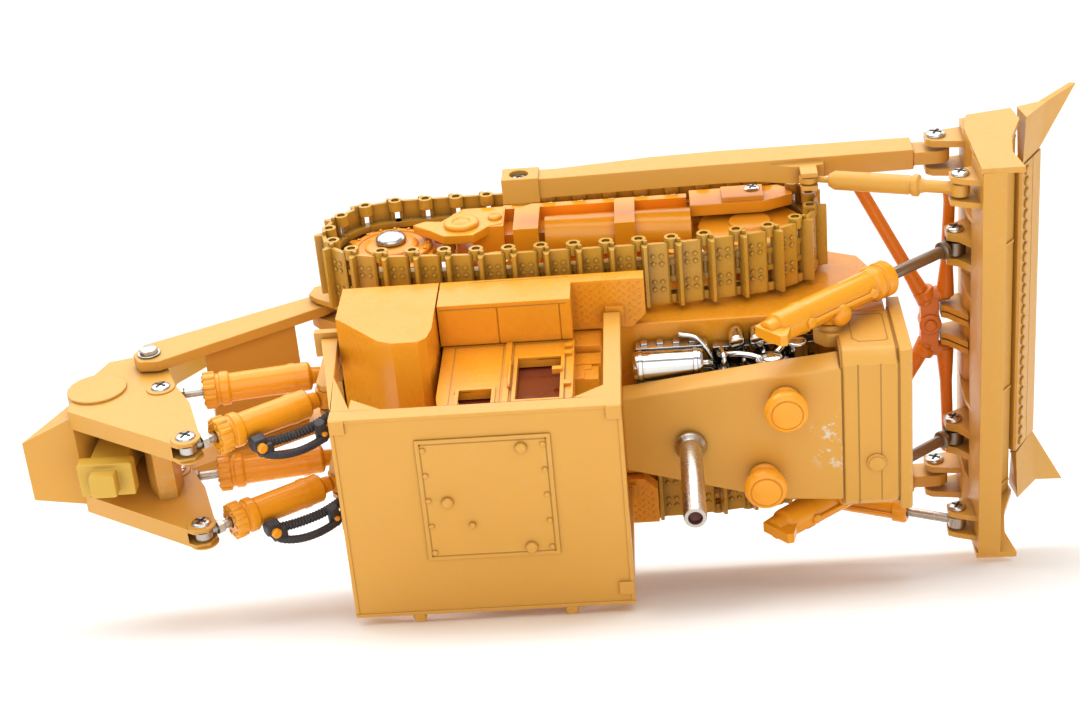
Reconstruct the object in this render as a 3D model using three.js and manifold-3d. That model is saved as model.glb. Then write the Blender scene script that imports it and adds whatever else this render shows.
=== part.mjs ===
// Toy crawler bulldozer with blade, canopy and parallelogram ripper, 1:50 size, in millimetres.
// +X forward, +Y to the machine's left, +Z up; the ground is z = 0 under the tracks.
import * as THREE from 'three';
import { mergeVertices } from 'three/addons/utils/BufferGeometryUtils.js';
import Module from 'manifold-3d';

const wasm = await Module();
wasm.setup();

// ---------- driving dimensions ----------
const CENTRE_X = -6.35; // middle of the whole length, measured in the machine's own layout
const GAP = 0.3; // air between neighbouring pieces
const FINE = 16; // sides of large, ordinary and small round pieces, of hexagons and of square bolts
const ROUND = 10;
const SMALL = 8;
const HEX = 6;
const SQUARE = 4;
const HULL_HALF = 17.2;
const DECK_Z = 38.7;

const SPROCKET = { x: -41, z: 16 };
const IDLER = { x: 33, z: 16 };
const PIN_R = 12.6; // chain pin circle at sprocket and idler
const CARRIER_Z = 30.9; // height of the upper run over the carrier rollers
const CARRIER_X = [-19, 18];
const LINKS = 35;
const GROUSER = 3.4; // from the pin line to the edge of the grouser bar
const SHOE_Y = [18.4, 32.3];
const CHAIN_Y = [22.8, 27.8];
const WHEEL_R = 10.8;

const FENDER = { inner: 19.4, outer: 28.1, under: 36.8, top: 47.5, tread: 40.3 };
const TANK = { rear: -48.8, front: -29.6, top: 62 };
const CAB = { rear: -29.2, front: -3.2, half: 19.1, top: 76.6 };
const ROOF = { rear: -47.7, front: 5.9, half: 21.7, top: 79, deep: 3.4 };

const HOUSING = { rear: 47.7, front: 58.2, half: 17.3 };
const GUARD = { rear: 58.5, front: 61, half: 17.6, top: 57.3 };

const TRUNNION = { x: -13.5, y: 38.2, z: 14 };
const ARM_PIN = { x: 71.4, z: 11.2 };
const BRACE_REAR = { x: 45, z: 18.6 };
const BRACE_PIN = { x: 73.6, z: 30 };
const LIFT_PIVOT = { x: 46.5, y: 22, z: 44.5 };
const LIFT_EYE = { x: 73.9, z: 21.6 };
const LIFT_CLEVIS_Y = 22;
const BLADE_HALF = 43.4;
const EDGE_BOLTS = 24;

const RIPPER_ROOT = { x: -57, z: 11.5 };
const RIPPER_HINGE = { x: -91, z: 33 };
const RIPPER_LIFT_EYE = { x: -87.1, z: 43.2 };
const RIPPER_TILT_EYE = { x: -78.2, z: 64.4 };
const RIPPER_LIFT_ROOT = { x: -53.2, z: 37 };
const RIPPER_TILT_ROOT = { x: -53.2, z: 46.8 };
const RIPPER_CYL_Y = 9.7;

// ---------- finishes ----------
const finish = (color, roughness, metalness) => ({ color, roughness, metalness });
const OCHRE = finish(0xd79a45, 0.42, 0.1); // painted casting
const YELLOW = finish(0xf5a623, 0.35, 0.0); // moulded yellow plastic
const ORANGE = finish(0xe0701c, 0.4, 0.0); // moulded orange plastic
const TRACK = finish(0xb9832f, 0.5, 0.05);
const STEEL = finish(0xb9b6ae, 0.3, 1.0);
const CHROME = finish(0xdadada, 0.12, 1.0);
const GLAZING = finish(0x6e2a1c, 0.2, 0.0);
const HOSE = finish(0x24252a, 0.55, 0.0);

// ---------- modelling helpers ----------
const toManifold = (geometry) => {
  const plain = geometry.clone();
  plain.deleteAttribute('normal');
  plain.deleteAttribute('uv');
  const corners = plain.attributes.position.array;
  corners.forEach((value, i) => { corners[i] = Math.round(value * 1e4) / 1e4; });
  const welded = mergeVertices(plain, 1e-4);
  return new wasm.Manifold(new wasm.Mesh({
    numProp: 3,
    vertProperties: new Float32Array(welded.attributes.position.array),
    triVerts: new Uint32Array(welded.index.array),
  }));
};

const join = (...solids) => solids.flat().reduce((all, next) => all.add(next));
const cut = (solid, ...tools) => tools.flat().reduce((left, tool) => left.subtract(tool), solid);

const box = (x, y, z) => {
  const geometry = new THREE.BoxGeometry(x[1] - x[0], y[1] - y[0], z[1] - z[0]);
  geometry.translate((x[0] + x[1]) / 2, (y[0] + y[1]) / 2, (z[0] + z[1]) / 2);
  return toManifold(geometry);
};

const extrude = (points, depth) => {
  const shape = new THREE.Shape(points.map((p) => new THREE.Vector2(...p)));
  return new THREE.ExtrudeGeometry(shape, { depth, bevelEnabled: false });
};

// outline in the side view (x, z), drawn out across y
const sidePlate = (points, y) => {
  const geometry = extrude(points, y[1] - y[0]);
  geometry.rotateX(Math.PI / 2);
  geometry.translate(0, y[1], 0);
  return toManifold(geometry);
};

// outline in the plan view (x, y), drawn up along z
const planPlate = (points, z) => {
  const geometry = extrude(points, z[1] - z[0]);
  geometry.translate(0, 0, z[0]);
  return toManifold(geometry);
};

// straight round bar from one point to another, optionally tapered
const bar = (from, to, radius, sides = ROUND, endRadius = radius) => {
  const start = new THREE.Vector3(...from);
  const end = new THREE.Vector3(...to);
  const axis = end.clone().sub(start);
  const geometry = new THREE.CylinderGeometry(endRadius, radius, axis.length(), sides);
  const turn = new THREE.Quaternion().setFromUnitVectors(
    new THREE.Vector3(0, 1, 0), axis.clone().normalize());
  geometry.applyQuaternion(turn);
  const middle = start.add(end).multiplyScalar(0.5);
  geometry.translate(middle.x, middle.y, middle.z);
  return toManifold(geometry);
};

const crossBar = (at, y, radius, sides = ROUND) => (
  bar([at.x, y[0], at.z], [at.x, y[1], at.z], radius, sides)
);

// skin drawn through a row of outlines that all have the same number of points
const loft = (sections) => {
  const count = sections[0].length;
  const positions = sections.flat(2);
  const faces = [];
  for (let s = 0; s + 1 < sections.length; s += 1) {
    for (let i = 0; i < count; i += 1) {
      const a = s * count + i;
      const b = s * count + ((i + 1) % count);
      faces.push(a, b, b + count, a, b + count, a + count);
    }
  }
  const last = (sections.length - 1) * count;
  for (let i = 1; i + 1 < count; i += 1) {
    faces.push(0, i + 1, i);
    faces.push(last, last + i, last + i + 1);
  }
  const corner = (i) => new THREE.Vector3(...positions.slice(3 * i, 3 * i + 3));
  let volume = 0;
  for (let i = 0; i < faces.length; i += 3) {
    volume += corner(faces[i]).dot(corner(faces[i + 1]).cross(corner(faces[i + 2])));
  }
  if (volume < 0) faces.reverse(); // the outlines may run either way round
  const geometry = new THREE.BufferGeometry();
  geometry.setAttribute('position', new THREE.Float32BufferAttribute(positions, 3));
  geometry.setIndex(faces);
  return toManifold(geometry.toNonIndexed());
};

// round section swept along a smooth path
const sweep = (points, radius, steps, sides) => {
  const path = new THREE.CatmullRomCurve3(points.map((p) => new THREE.Vector3(...p)));
  const ring = [];
  for (let i = 0; i < sides; i += 1) {
    const turn = (2 * Math.PI * i) / sides;
    ring.push(new THREE.Vector2(radius * Math.cos(turn), radius * Math.sin(turn)));
  }
  return toManifold(new THREE.ExtrudeGeometry(new THREE.Shape(ring), { steps, extrudePath: path }));
};

const polar = (centre, radius, degrees) => {
  const turn = (degrees * Math.PI) / 180;
  return [centre.x + radius * Math.cos(turn), centre.z + radius * Math.sin(turn)];
};

const toMesh = (name, solid, look) => {
  const data = solid.getMesh();
  const geometry = new THREE.BufferGeometry();
  geometry.setAttribute('position', new THREE.Float32BufferAttribute(data.vertProperties, 3));
  geometry.setIndex([...data.triVerts]);
  geometry.computeVertexNormals();
  const mesh = new THREE.Mesh(geometry, new THREE.MeshStandardMaterial(look));
  mesh.name = name;
  return mesh;
};

const sideName = (side) => (side > 0 ? 'left' : 'right');
const spanY = (side, near, far) => (side > 0 ? [near, far] : [-far, -near]);

// ---------- hull ----------
const buildHull = () => {
  const profile = [
    [-49, 13], [-44, 7], [44, 7], [55, 13], [57.9, 22], [57.9, DECK_Z - GAP],
    [2, DECK_Z - GAP], [2, 46.4], [CAB.rear, 46.4], [CAB.rear, 43], [-49, 43],
  ];
  const body = sidePlate(profile, [-HULL_HALF, HULL_HALF]);
  const axles = [SPROCKET, IDLER].map((wheel) => crossBar(wheel, [-20.6, 20.6], 3, FINE));
  return join(body, axles);
};

const buildRipperBracket = () => {
  const ear = (y) => sidePlate([
    [-49.3, 8.6], [-55, 7.6], [-59.6, 9.2], [-60.4, 12.6], [-58.6, 15], [-49.3, 22],
  ], y);
  const seat = box([-50.6, -49.3], [-16, 16], [8.6, 43]);
  const ears = [-1, 1].flatMap((side) => [ear(spanY(side, 8.6, 11.4)), ear(spanY(side, 14.8, 16))]);
  const pins = [-1, 1].map((side) => crossBar(RIPPER_ROOT, spanY(side, 11.2, 15), 1.1));
  const roots = [-1, 1].flatMap((side) => [RIPPER_LIFT_ROOT, RIPPER_TILT_ROOT].map((root) => (
    crossBar(root, spanY(side, 7.2, 12.2), 0.9)
  )));
  const cheeks = [-1, 1].flatMap((side) => [[6.2, 7.4], [12, 13.2]].map(([near, far]) => (
    sidePlate([
      [-50, 33], [-53.8, 35.4], [-54.8, 36.6], [-54.8, 47.8], [-53.6, 49.4], [-50, 49.4],
    ], spanY(side, near, far))
  )));
  const mast = box([-50.6, -49.3], [-14, 14], [42.9, 49.4]);
  return join(seat, ears, pins, roots, cheeks, mast);
};

// ---------- hood, radiator and engine ----------
const buildHood = () => {
  const section = (x, half, top, skirtHalf, skirt) => [
    [x, -half, top], [x, half, top], [x, skirtHalf, skirt], [x, -skirtHalf, skirt],
  ];
  const shell = loft([
    section(5.2, 8, 52.7, 8.5, 47.6),
    section(34, 13.6, 57.5, 14.5, 52.2),
    section(HOUSING.rear - GAP, 14.6, 57.5, 15.8, 52.2),
  ]);
  const hollow = loft([
    section(6.4, 7, 51.4, 7.4, 45),
    section(34, 12.6, 56.1, 13.3, 50),
    section(HOUSING.rear - 1.5, 13.6, 56.1, 14.6, 50),
  ]);
  return cut(shell, hollow);
};

const buildHousing = () => {
  const outline = (x) => [
    [x, -15, 57.5], [x, 15, 57.5], [x, 17, 55.4], [x, HOUSING.half, 54],
    [x, HOUSING.half, DECK_Z], [x, -HOUSING.half, DECK_Z], [x, -HOUSING.half, 54], [x, -17, 55.4],
  ];
  const body = loft([outline(HOUSING.front), outline(HOUSING.rear)]);
  const bosses = [-1, 1].flatMap((side) => [
    sidePlate([
      [49, 39.2], [49, 48.6], [45.6, 48.2], [43.2, 45.6], [43.4, 42.2], [45.6, 39.8],
    ], spanY(side, 14.2, HOUSING.half)),
    crossBar(LIFT_PIVOT, spanY(side, 16, 18.3), 2.6, FINE),
  ]);
  const plug = bar([53.9, -6.4, 57.2], [53.9, -6.4, 58.3], 1.5, ROUND);
  return join(body, bosses, plug);
};

const buildGuard = () => {
  const frame = sidePlate([
    [GUARD.rear, 34], [GUARD.front, 34], [GUARD.front, GUARD.top - 0.6],
    [GUARD.front - 0.6, GUARD.top], [GUARD.rear, GUARD.top],
  ], [-GUARD.half, GUARD.half]);
  const opening = box([GUARD.rear - 1, GUARD.front + 1], [-14.4, 14.4], [37, 53.6]);
  const bars = [-9.6, -4.8, 0, 4.8, 9.6].map((y) => (
    box([GUARD.rear + 0.6, GUARD.front - 0.5], [y - 0.6, y + 0.6], [36, 54.6])
  ));
  return join(cut(frame, opening), bars);
};

const buildEngine = () => {
  const block = box([8, 44], [-7.5, 7.5], [DECK_Z + GAP, 46.6]);
  const rocker = box([24, 43], [-6, 8.6], [46, 51.4]);
  const heads = [26, 30.5, 35, 39.5].map((x) => box([x, x + 3.2], [8, 10.6], [44, 49]));
  const turbo = join(
    bar([35, 9.2, 47.4], [35, 12.6, 47.4], 3.1, FINE),
    bar([35, 12.4, 47.4], [35, 13.4, 47.4], 1.6, SMALL),
  );
  const sump = box([24, 42], [7, 12.8], [DECK_Z + GAP, 43]);
  const pipe = bar([23, 10.8, 45.8], [27, 10.8, 45.8], 1.4, SMALL);
  return join(block, rocker, heads, turbo, sump, pipe);
};

const buildSilencer = () => join(
  bar([7.4, 10.9, 45.2], [21.8, 10.9, 45.2], 3.2, FINE),
  bar([8.6, 10.9, 45.2], [9.4, 10.9, 45.2], 3.4, FINE),
  bar([19.6, 10.9, 45.2], [20.4, 10.9, 45.2], 3.4, FINE),
);

const buildExhaust = () => {
  const points = [
    [0, 0], [3.1, 0], [3.1, 0.8], [2.35, 1.3], [2.15, 26.8], [1.2, 26.8], [1.2, 14], [0, 14],
  ].map(([r, h]) => new THREE.Vector2(r, h));
  const geometry = new THREE.LatheGeometry(points, FINE);
  geometry.rotateX(Math.PI / 2);
  return toManifold(geometry);
};

const buildPrecleaner = () => {
  const points = [
    [0, 0], [2.6, 0], [2.6, 3.2], [4.1, 3.6], [4.2, 4.6], [3.9, 5.6], [3, 6.4], [1.4, 6.8], [0, 6.9],
  ].map(([r, h]) => new THREE.Vector2(r, h));
  const geometry = new THREE.LatheGeometry(points, FINE);
  geometry.rotateX(Math.PI / 2);
  return toManifold(geometry);
};

// ---------- cab, tank, fenders, canopy ----------
const buildCab = () => {
  const shell = sidePlate([
    [CAB.rear + GAP, 46.8], [CAB.front, 46.8], [CAB.front, 70], [-5.2, CAB.top], [-27.6, CAB.top],
    [CAB.rear + GAP, 68],
  ], [-CAB.half, CAB.half]);
  const cavity = sidePlate([
    [-27.4, 45], [-4.8, 45], [-4.8, 69.4], [-6.6, 74.6], [-26.4, 74.6], [-27.4, 67.6],
  ], [-17.4, 17.4]);
  const windows = [
    sidePlate([[-13.9, 54.6], [-5.6, 54.6], [-5.6, 71], [-13.9, 71]], [-30, 30]),
    sidePlate([[-25.6, 66.2], [-18.4, 66.2], [-18.4, 72], [-24, 72]], [-30, 30]),
    box([-10, 5], [-14.6, 14.6], [55, 68]),
  ];
  const posts = [-1, 1].map((side) => box([-16.4, -15.2], spanY(side, 19, 19.6), [47.6, 73]));
  const handles = [-1, 1].map((side) => box([-7.2, -5.2], spanY(side, 19, 20.1), [59.6, 60.9]));
  const cowl = sidePlate([
    [CAB.front - 0.5, 46.8], [1.6, 46.8], [1.6, 50], [0, 50], [0, 53.2], [-1.4, 53.2], [-1.4, 57],
    [CAB.front - 0.5, 57],
  ], [-15.6, 15.6]);
  return join(cut(shell, cavity, windows), posts, handles, cowl);
};

const buildGlazing = () => cut(
  sidePlate([
    [-27.1, 46.9], [-5.1, 46.9], [-5.1, 69.2], [-6.9, 74.3], [-26.1, 74.3], [-27.1, 67.4],
  ], [-17.1, 17.1]),
  sidePlate([[-26, 45], [-6.2, 45], [-6.2, 69], [-7.8, 73], [-25, 73], [-26, 67]], [-16, 16]),
);

const buildTank = () => {
  const outline = [
    [TANK.rear, 43.4], [TANK.rear, 50], [-46.6, 52.4], [-39.6, 60.6], [-36.8, TANK.top],
    [-31.8, TANK.top], [-30.3, 60.4], [TANK.front, 57], [TANK.front, 43.4],
  ];
  const wings = [-1, 1].map((side) => sidePlate([
    [TANK.rear, FENDER.under], [TANK.rear, 44.6], [TANK.front, 44.6], [TANK.front, FENDER.under],
  ], spanY(side, 17.6, FENDER.outer)));
  const filler = bar([-36, -8, TANK.top - 0.5], [-36, -8, TANK.top + 1.6], 2.6, FINE);
  return join(sidePlate(outline, [-FENDER.outer, FENDER.outer]), wings, filler);
};

const buildFender = (side) => {
  const bin = sidePlate([
    [TANK.front + GAP, FENDER.under], [-3.4, FENDER.under], [-3.4, FENDER.top],
    [TANK.front + GAP, FENDER.top],
  ], spanY(side, FENDER.inner, FENDER.outer));
  const seams = [-17.7, -5.6].map((x) => (
    box([x - 0.12, x + 0.12], spanY(side, FENDER.inner - 1, FENDER.outer - 1), [FENDER.top - 0.3, 50])
  ));
  const tread = planPlate([
    [-3.6, side * 17.6], [8.2, side * 17.6], [10.9, side * 20.4], [10.9, side * FENDER.outer],
    [-3.6, side * FENDER.outer],
  ], [FENDER.under, FENDER.tread]);
  const foot = box([3, 6.6], spanY(side, 18.4, 22.6), [FENDER.tread - 0.2, FENDER.tread + 1]);
  return join(cut(bin, seams), tread, foot);
};

const buildCanopy = () => {
  const { rear, front, half, top, deep } = ROOF;
  const slab = box([rear, front], [-half, half], [top - deep, top]);
  const hollow = box([rear + 2, front - 2], [-half + 1.6, half - 1.6], [top - deep - 1, top - 1.4]);
  const gusset = (x0, x1, side) => sidePlate([
    [x0, top - deep + 0.2], [x1, top - deep + 0.2], [x0, top - deep - 4.4],
  ], spanY(side, half - 1.6, half));
  const posts = [-1, 1].flatMap((side) => {
    const y = spanY(side, half - 3.2, half);
    return [
      box([2.6, front], y, [FENDER.tread + 1.2, top - deep + 0.2]),
      sidePlate([
        [rear, top - deep + 0.2], [rear + 3.8, top - deep + 0.2], [rear - 0.7, 62], [rear - 1.9, 45.4],
        [rear - 5.3, 45.4],
      ], y),
      gusset(2.7, -3.4, side),
      gusset(rear + 3.4, rear + 9.6, side),
    ];
  });
  const lugs = [-35.5, -6.3].map((x) => (
    bar([x, -half + 0.3, top - 1.7], [x, -half - 1, top - 1.7], 1.1, SMALL)
  ));
  return join(cut(slab, hollow), posts, lugs);
};

const buildRearFoot = (side) => join(
  box([-54.4, -49.2], spanY(side, 17.6, 22.8), [43.4, 45.1]),
  box([-52.2, -49.3], spanY(side, 16.4, 18), [38, 45.1]),
);

const buildHatch = () => {
  const plate = box([-32.4, -7.4], [-9.4, 16.6], [ROOF.top + 0.05, ROOF.top + 0.75]);
  const bolt = (x, y, radius, high) => (
    bar([x, y, ROOF.top + 0.3], [x, y, ROOF.top + high], radius, SMALL)
  );
  const rows = [-31, -8.8].flatMap((x) => [14.4, 9, 3.6, -1.8, -7.2].map((y) => bolt(x, y, 0.5, 1.1)));
  const bosses = [[-12.9, 14.1], [-27.5, 3.3], [-12.7, -7.4]].map(([x, y]) => bolt(x, y, 1.05, 1.5));
  return join(plate, rows, bosses, bolt(-23.3, -1.8, 0.6, 1.2));
};

// ---------- tracks ----------
const beltPath = () => {
  // closed line through the chain pins, walked from the sprocket's underside rearwards
  const line = [];
  const arc = (wheel, from, to, count) => {
    for (let i = 0; i <= count; i += 1) {
      line.push(polar(wheel, PIN_R, from + ((to - from) * i) / count));
    }
  };
  arc(SPROCKET, 270, 96, 11);
  line.push([CARRIER_X[0], CARRIER_Z], [CARRIER_X[1], CARRIER_Z]);
  arc(IDLER, 81, -90, 11);
  return line;
};

const walk = (line, distance) => {
  let left = distance;
  for (let i = 0; i < line.length; i += 1) {
    const a = line[i];
    const b = line[(i + 1) % line.length];
    const length = Math.hypot(b[0] - a[0], b[1] - a[1]);
    if (left <= length) {
      const t = left / length;
      return {
        x: a[0] + (b[0] - a[0]) * t,
        z: a[1] + (b[1] - a[1]) * t,
        angle: Math.atan2(b[1] - a[1], b[0] - a[0]),
      };
    }
    left -= length;
  }
  return walk(line, distance - 1e-6);
};

const lineLength = (line) => line.reduce((sum, a, i) => {
  const b = line[(i + 1) % line.length];
  return sum + Math.hypot(b[0] - a[0], b[1] - a[1]);
}, 0);

const offsetLoop = (line, distance) => line.map((p, i) => {
  const before = line[(i + line.length - 1) % line.length];
  const after = line[(i + 1) % line.length];
  const along = [after[0] - before[0], after[1] - before[1]];
  const size = Math.hypot(...along);
  return [p[0] - (along[1] / size) * distance, p[1] + (along[0] / size) * distance];
});

const buildBelt = (side) => {
  const line = beltPath();
  const chain = cut(
    sidePlate(offsetLoop(line, 1.25), spanY(side, ...CHAIN_Y)),
    sidePlate(offsetLoop(line, -1.1), [-40, 40]),
  );
  const pitch = lineLength(line) / LINKS;
  const shoes = [];
  for (let i = 0; i < LINKS; i += 1) {
    const at = walk(line, (i + 0.5) * pitch);
    const shoe = sidePlate([
      [-2.75, 0.9], [2.75, 0.9], [2.75, 1.9], [-1.5, 1.9], [-1.7, GROUSER], [-2.5, GROUSER], [-2.75, 1.9],
    ], spanY(side, ...SHOE_Y));
    shoes.push(shoe.rotate([0, (-at.angle * 180) / Math.PI, 0]).translate([at.x, 0, at.z]));
  }
  return join(chain, shoes);
};

const buildTrackFrame = (side) => {
  const y = (near, far) => spanY(side, near, far);
  const beam = sidePlate([
    [-27, 7.4], [21.4, 7.4], [21.4, 14.6], [-24, 14.6], [-28, 11.4],
  ], y(17.5, 27.6));
  const tip = sidePlate([
    [-28.5, 9.2], [-26.4, 6.6], [-17.5, 6.6], [-17.5, 16.6], [-24, 16.6],
  ], y(22.6, 30.6));
  const flange = box([-18, 20.4], y(27, 30.4), [5.6, 7.6]);
  const recoil = join(
    bar([-9, side * 26.4, 14.4], [21, side * 26.4, 14.4], 4.4, FINE),
    box([-15.4, -10.2], y(21.8, 30.8), [7, 19.4]),
    box([5.4, 9.6], y(21.6, 31), [7, 19.8]),
  );
  const carriers = CARRIER_X.map((x) => join(
    bar([x, side * 17.5, 24.6], [x, side * 27.2, 24.6], 1.2, SMALL),
    bar([x, side * 22.9, 25.6], [x, side * 27.6, 25.6], 3.2, FINE),
    box([x - 1.6, x + 1.6], y(19.8, 22.4), [14, 26]),
  ));
  const rollers = [-22, -12.5, -3, 6.5, 16].map((x) => (
    bar([x, side * 23, 7.6], [x, side * 27.6, 7.6], 2.4, ROUND)
  ));
  return join(beam, tip, flange, recoil, carriers, rollers);
};

const buildIdlerYoke = (side) => {
  const y = (near, far) => spanY(side, near, far);
  const nose = sidePlate([
    [21, 5.4], [39.6, 5.4], [42.2, 7.8], [42.2, 10.6], [36, 13.6], [21, 13.6],
  ], y(28.6, 31));
  const block = box([27.6, 36.2], y(28.4, 31.8), [6.4, 12.4]);
  return join(nose, block);
};

const buildSprocket = (side) => {
  const teeth = 12;
  const outline = [];
  for (let i = 0; i < teeth; i += 1) {
    const middle = (360 * i) / teeth;
    outline.push(polar({ x: 0, z: 0 }, 9.2, middle - 10), polar({ x: 0, z: 0 }, WHEEL_R, middle - 4.5));
    outline.push(polar({ x: 0, z: 0 }, WHEEL_R, middle + 4.5), polar({ x: 0, z: 0 }, 9.2, middle + 10));
  }
  return join(
    sidePlate(outline, spanY(side, 23.9, 26.9)),
    crossBar({ x: 0, z: 0 }, spanY(side, 21, 28.4), 6.2, FINE),
    crossBar({ x: 0, z: 0 }, spanY(side, 26.5, 28), 8.2, FINE),
  );
};

const buildIdler = (side) => join(
  crossBar({ x: 0, z: 0 }, spanY(side, 23.6, 27.4), WHEEL_R, FINE),
  crossBar({ x: 0, z: 0 }, spanY(side, 21, 28.2), 4.4, FINE),
);

const buildRivet = (side) => {
  const points = [
    [0, 0], [3.2, 0], [3.1, 0.6], [2.6, 1.2], [1.5, 1.75], [0, 1.95],
  ].map(([r, h]) => new THREE.Vector2(r, h));
  const geometry = new THREE.LatheGeometry(points, FINE);
  if (side < 0) geometry.rotateX(Math.PI);
  return toManifold(geometry);
};

// ---------- blade ----------
const buildPushArm = (side) => {
  const y = TRUNNION.y;
  const outline = (x, low, high, near, far) => [
    [x, side * far, low], [x, side * far, high], [x, side * near, high], [x, side * near, low],
  ];
  const sections = [
    outline(-16.4, 11.4, 16.4, y - 2.4, y + 2.2),
    outline(-6, 11.2, 16.2, y - 2.2, y + 2.1),
    outline(13.5, 8.6, 15.6, y - 2.1, y + 2.2),
    outline(27, 7.8, 15.2, y - 2.1, y + 2.2),
    outline(66.6, 7.4, 14.2, y - 2.1, y + 2.2),
  ];
  const beam = loft(sections);
  const nose = join(
    box([66, ARM_PIN.x], spanY(side, y - 1.4, y + 1.4), [8.2, 14]),
    crossBar(ARM_PIN, spanY(side, y - 1.4, y + 1.4), 2.8, FINE),
  );
  const mast = join(
    sidePlate([[34, 14], [48.4, 14], [48.4, 16], [46.4, 16.3], [42, 16.3]], spanY(side, y - 2.6, y + 1.2)),
    box([43.4, 46.8], spanY(side, y - 2.6, y - 1.6), [16, 20.6]),
    box([43.4, 46.8], spanY(side, y + 0.2, y + 1.2), [16, 20.6]),
  );
  const collar = box([-17, -9.4], spanY(side, y - 2.8, y + 2.6), [10.8, 17]);
  const hinge = crossBar(TRUNNION, spanY(side, y - 3.6, y - 2), 2.6, FINE);
  const recess = crossBar(TRUNNION, spanY(side, y + 1.2, y + 4), 2, ROUND);
  return cut(join(beam, nose, mast, collar, hinge), recess);
};

const bladeSkin = {
  front: [[81.6, 35.7], [80.6, 31], [80.4, 26], [81.4, 20.5], [84, 15], [87.6, 10.4]],
  back: [[85.4, 7], [83.4, 5.2], [76.8, 6.4], [76.4, 14], [76.8, 16.4], [78.2, 18.2], [77, 22.4],
    [76.4, 27], [76.8, 32.4], [77.4, 35.7]],
};

const buildBlade = () => {
  const skin = sidePlate([...bladeSkin.front, ...bladeSkin.back], [-BLADE_HALF, BLADE_HALF]);
  const endPlate = (side) => sidePlate([
    [76.9, 35.7], [85.2, 35.9], [84, 28], [85.2, 20], [88.2, 11.2], [87.4, 5], [78, 7.2], [76.6, 14],
  ], spanY(side, BLADE_HALF - 0.2, BLADE_HALF + 1));
  const fork = (centre, halfWidth, gapHalf, outline) => [-1, 1].flatMap((side) => (
    [[-halfWidth, -gapHalf], [gapHalf, halfWidth]].map(([near, far]) => (
      sidePlate(outline, side > 0 ? [centre + near, centre + far] : [-centre - far, -centre - near])
    ))
  ));
  const liftForks = fork(LIFT_CLEVIS_Y, 3.5, 1.9, [
    [LIFT_EYE.x - 1.8, 19.4], [78.8, 15], [78.8, 31], [LIFT_EYE.x + 0.4, 24.4], [LIFT_EYE.x - 1.8, 23.2],
  ]);
  const liftPins = [-1, 1].map((side) => {
    const reach = spanY(side, LIFT_CLEVIS_Y - 2.2, LIFT_CLEVIS_Y + 2.2);
    return crossBar(LIFT_EYE, reach, 0.65, SMALL);
  });
  const armForks = fork(TRUNNION.y, 3.8, 2.4, [
    [ARM_PIN.x - 2.2, 9.2], [77.2, 7.4], [77.2, 15.4], [ARM_PIN.x - 1, 14.2], [ARM_PIN.x - 2.2, 13],
  ]);
  const braceForks = fork(TRUNNION.y, 3, 1.8, [
    [BRACE_PIN.x - 2, 28.4], [77.6, 25.8], [77.6, 34.2], [BRACE_PIN.x - 0.4, 32.4], [BRACE_PIN.x - 2, 31.4],
  ]);
  const hubForks = fork(3.2, 1.4, 0.2, [
    [72.4, 9.6], [77.2, 8], [77.2, 19], [73.6, 14.4], [72.4, 13.6],
  ]);
  const lower = [
    ...liftForks, ...liftPins, ...armForks, ...braceForks, ...hubForks,
  ];
  const ribs = [-1, 1].flatMap((side) => [29.4, 12].map((y) => (
    sidePlate([
      [76.8, 8], [79, 10], [79, 33], [76.9, 31], [75.9, 25], [75.9, 18],
    ], spanY(side, y, y + 1))
  )));
  return join(skin, endPlate(1), endPlate(-1), lower, ribs);
};

const buildCuttingEdge = () => {
  const plate = sidePlate([
    [88.05, 10.2], [89.1, 10.7], [94.4, 1.9], [93.3, 1.2], [86, 6.9],
  ], [-33.6, 33.6]);
  const bolts = [];
  for (let i = 0; i < EDGE_BOLTS; i += 1) {
    const y = -31.6 + (63.2 * i) / (EDGE_BOLTS - 1);
    bolts.push(bar([90.2, y, 6.7], [91.35, y, 7.4], 0.7, SQUARE));
  }
  return join(plate, bolts);
};

const buildEndBit = (side) => {
  const y = (value) => side * value;
  const face = [
    [94.2, y(33.9), 1.7], [101.3, y(47.3), 0.9], [94.8, y(45), 4.4], [89.2, y(34.2), 10.6],
  ];
  const backed = face.map(([x, py, z]) => [x - 1.3, py, Math.max(z - 0.75, 0.5)]);
  const wingBack = [[88.3, y(34.2), 9.4], [92.9, y(33.9), 1.2], [94, y(45), 3.7], [88.6, y(44.8), 5.6]];
  const wingFace = [[89.2, y(34.2), 10.6], [94.2, y(33.9), 1.7], [94.8, y(45), 4.4], [89.4, y(44.9), 12]];
  const facing = (back, front) => loft(side > 0 ? [back, front] : [front, back]);
  return join(facing(backed, face), facing(wingBack, wingFace));
};

const braceEnds = (side) => ({
  rear: [BRACE_REAR.x, side * (TRUNNION.y - 0.7), BRACE_REAR.z],
  front: [BRACE_PIN.x, side * TRUNNION.y, BRACE_PIN.z],
});

const along = (from, to, t) => from.map((value, i) => value + (to[i] - value) * t);

const buildBrace = () => {
  const { rear, front } = braceEnds(1);
  return join(
    bar(along(rear, front, 0.04), along(rear, front, 0.16), 0.65, SMALL),
    bar(along(rear, front, 0.13), along(rear, front, 0.96), 1.9, ROUND, 1.35),
    crossBar(BRACE_REAR, [rear[1] - 0.7, rear[1] + 0.7], 1.9, ROUND),
    crossBar(BRACE_PIN, [front[1] - 1.4, front[1] + 1.4], 1.9, ROUND),
  );
};

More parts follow.
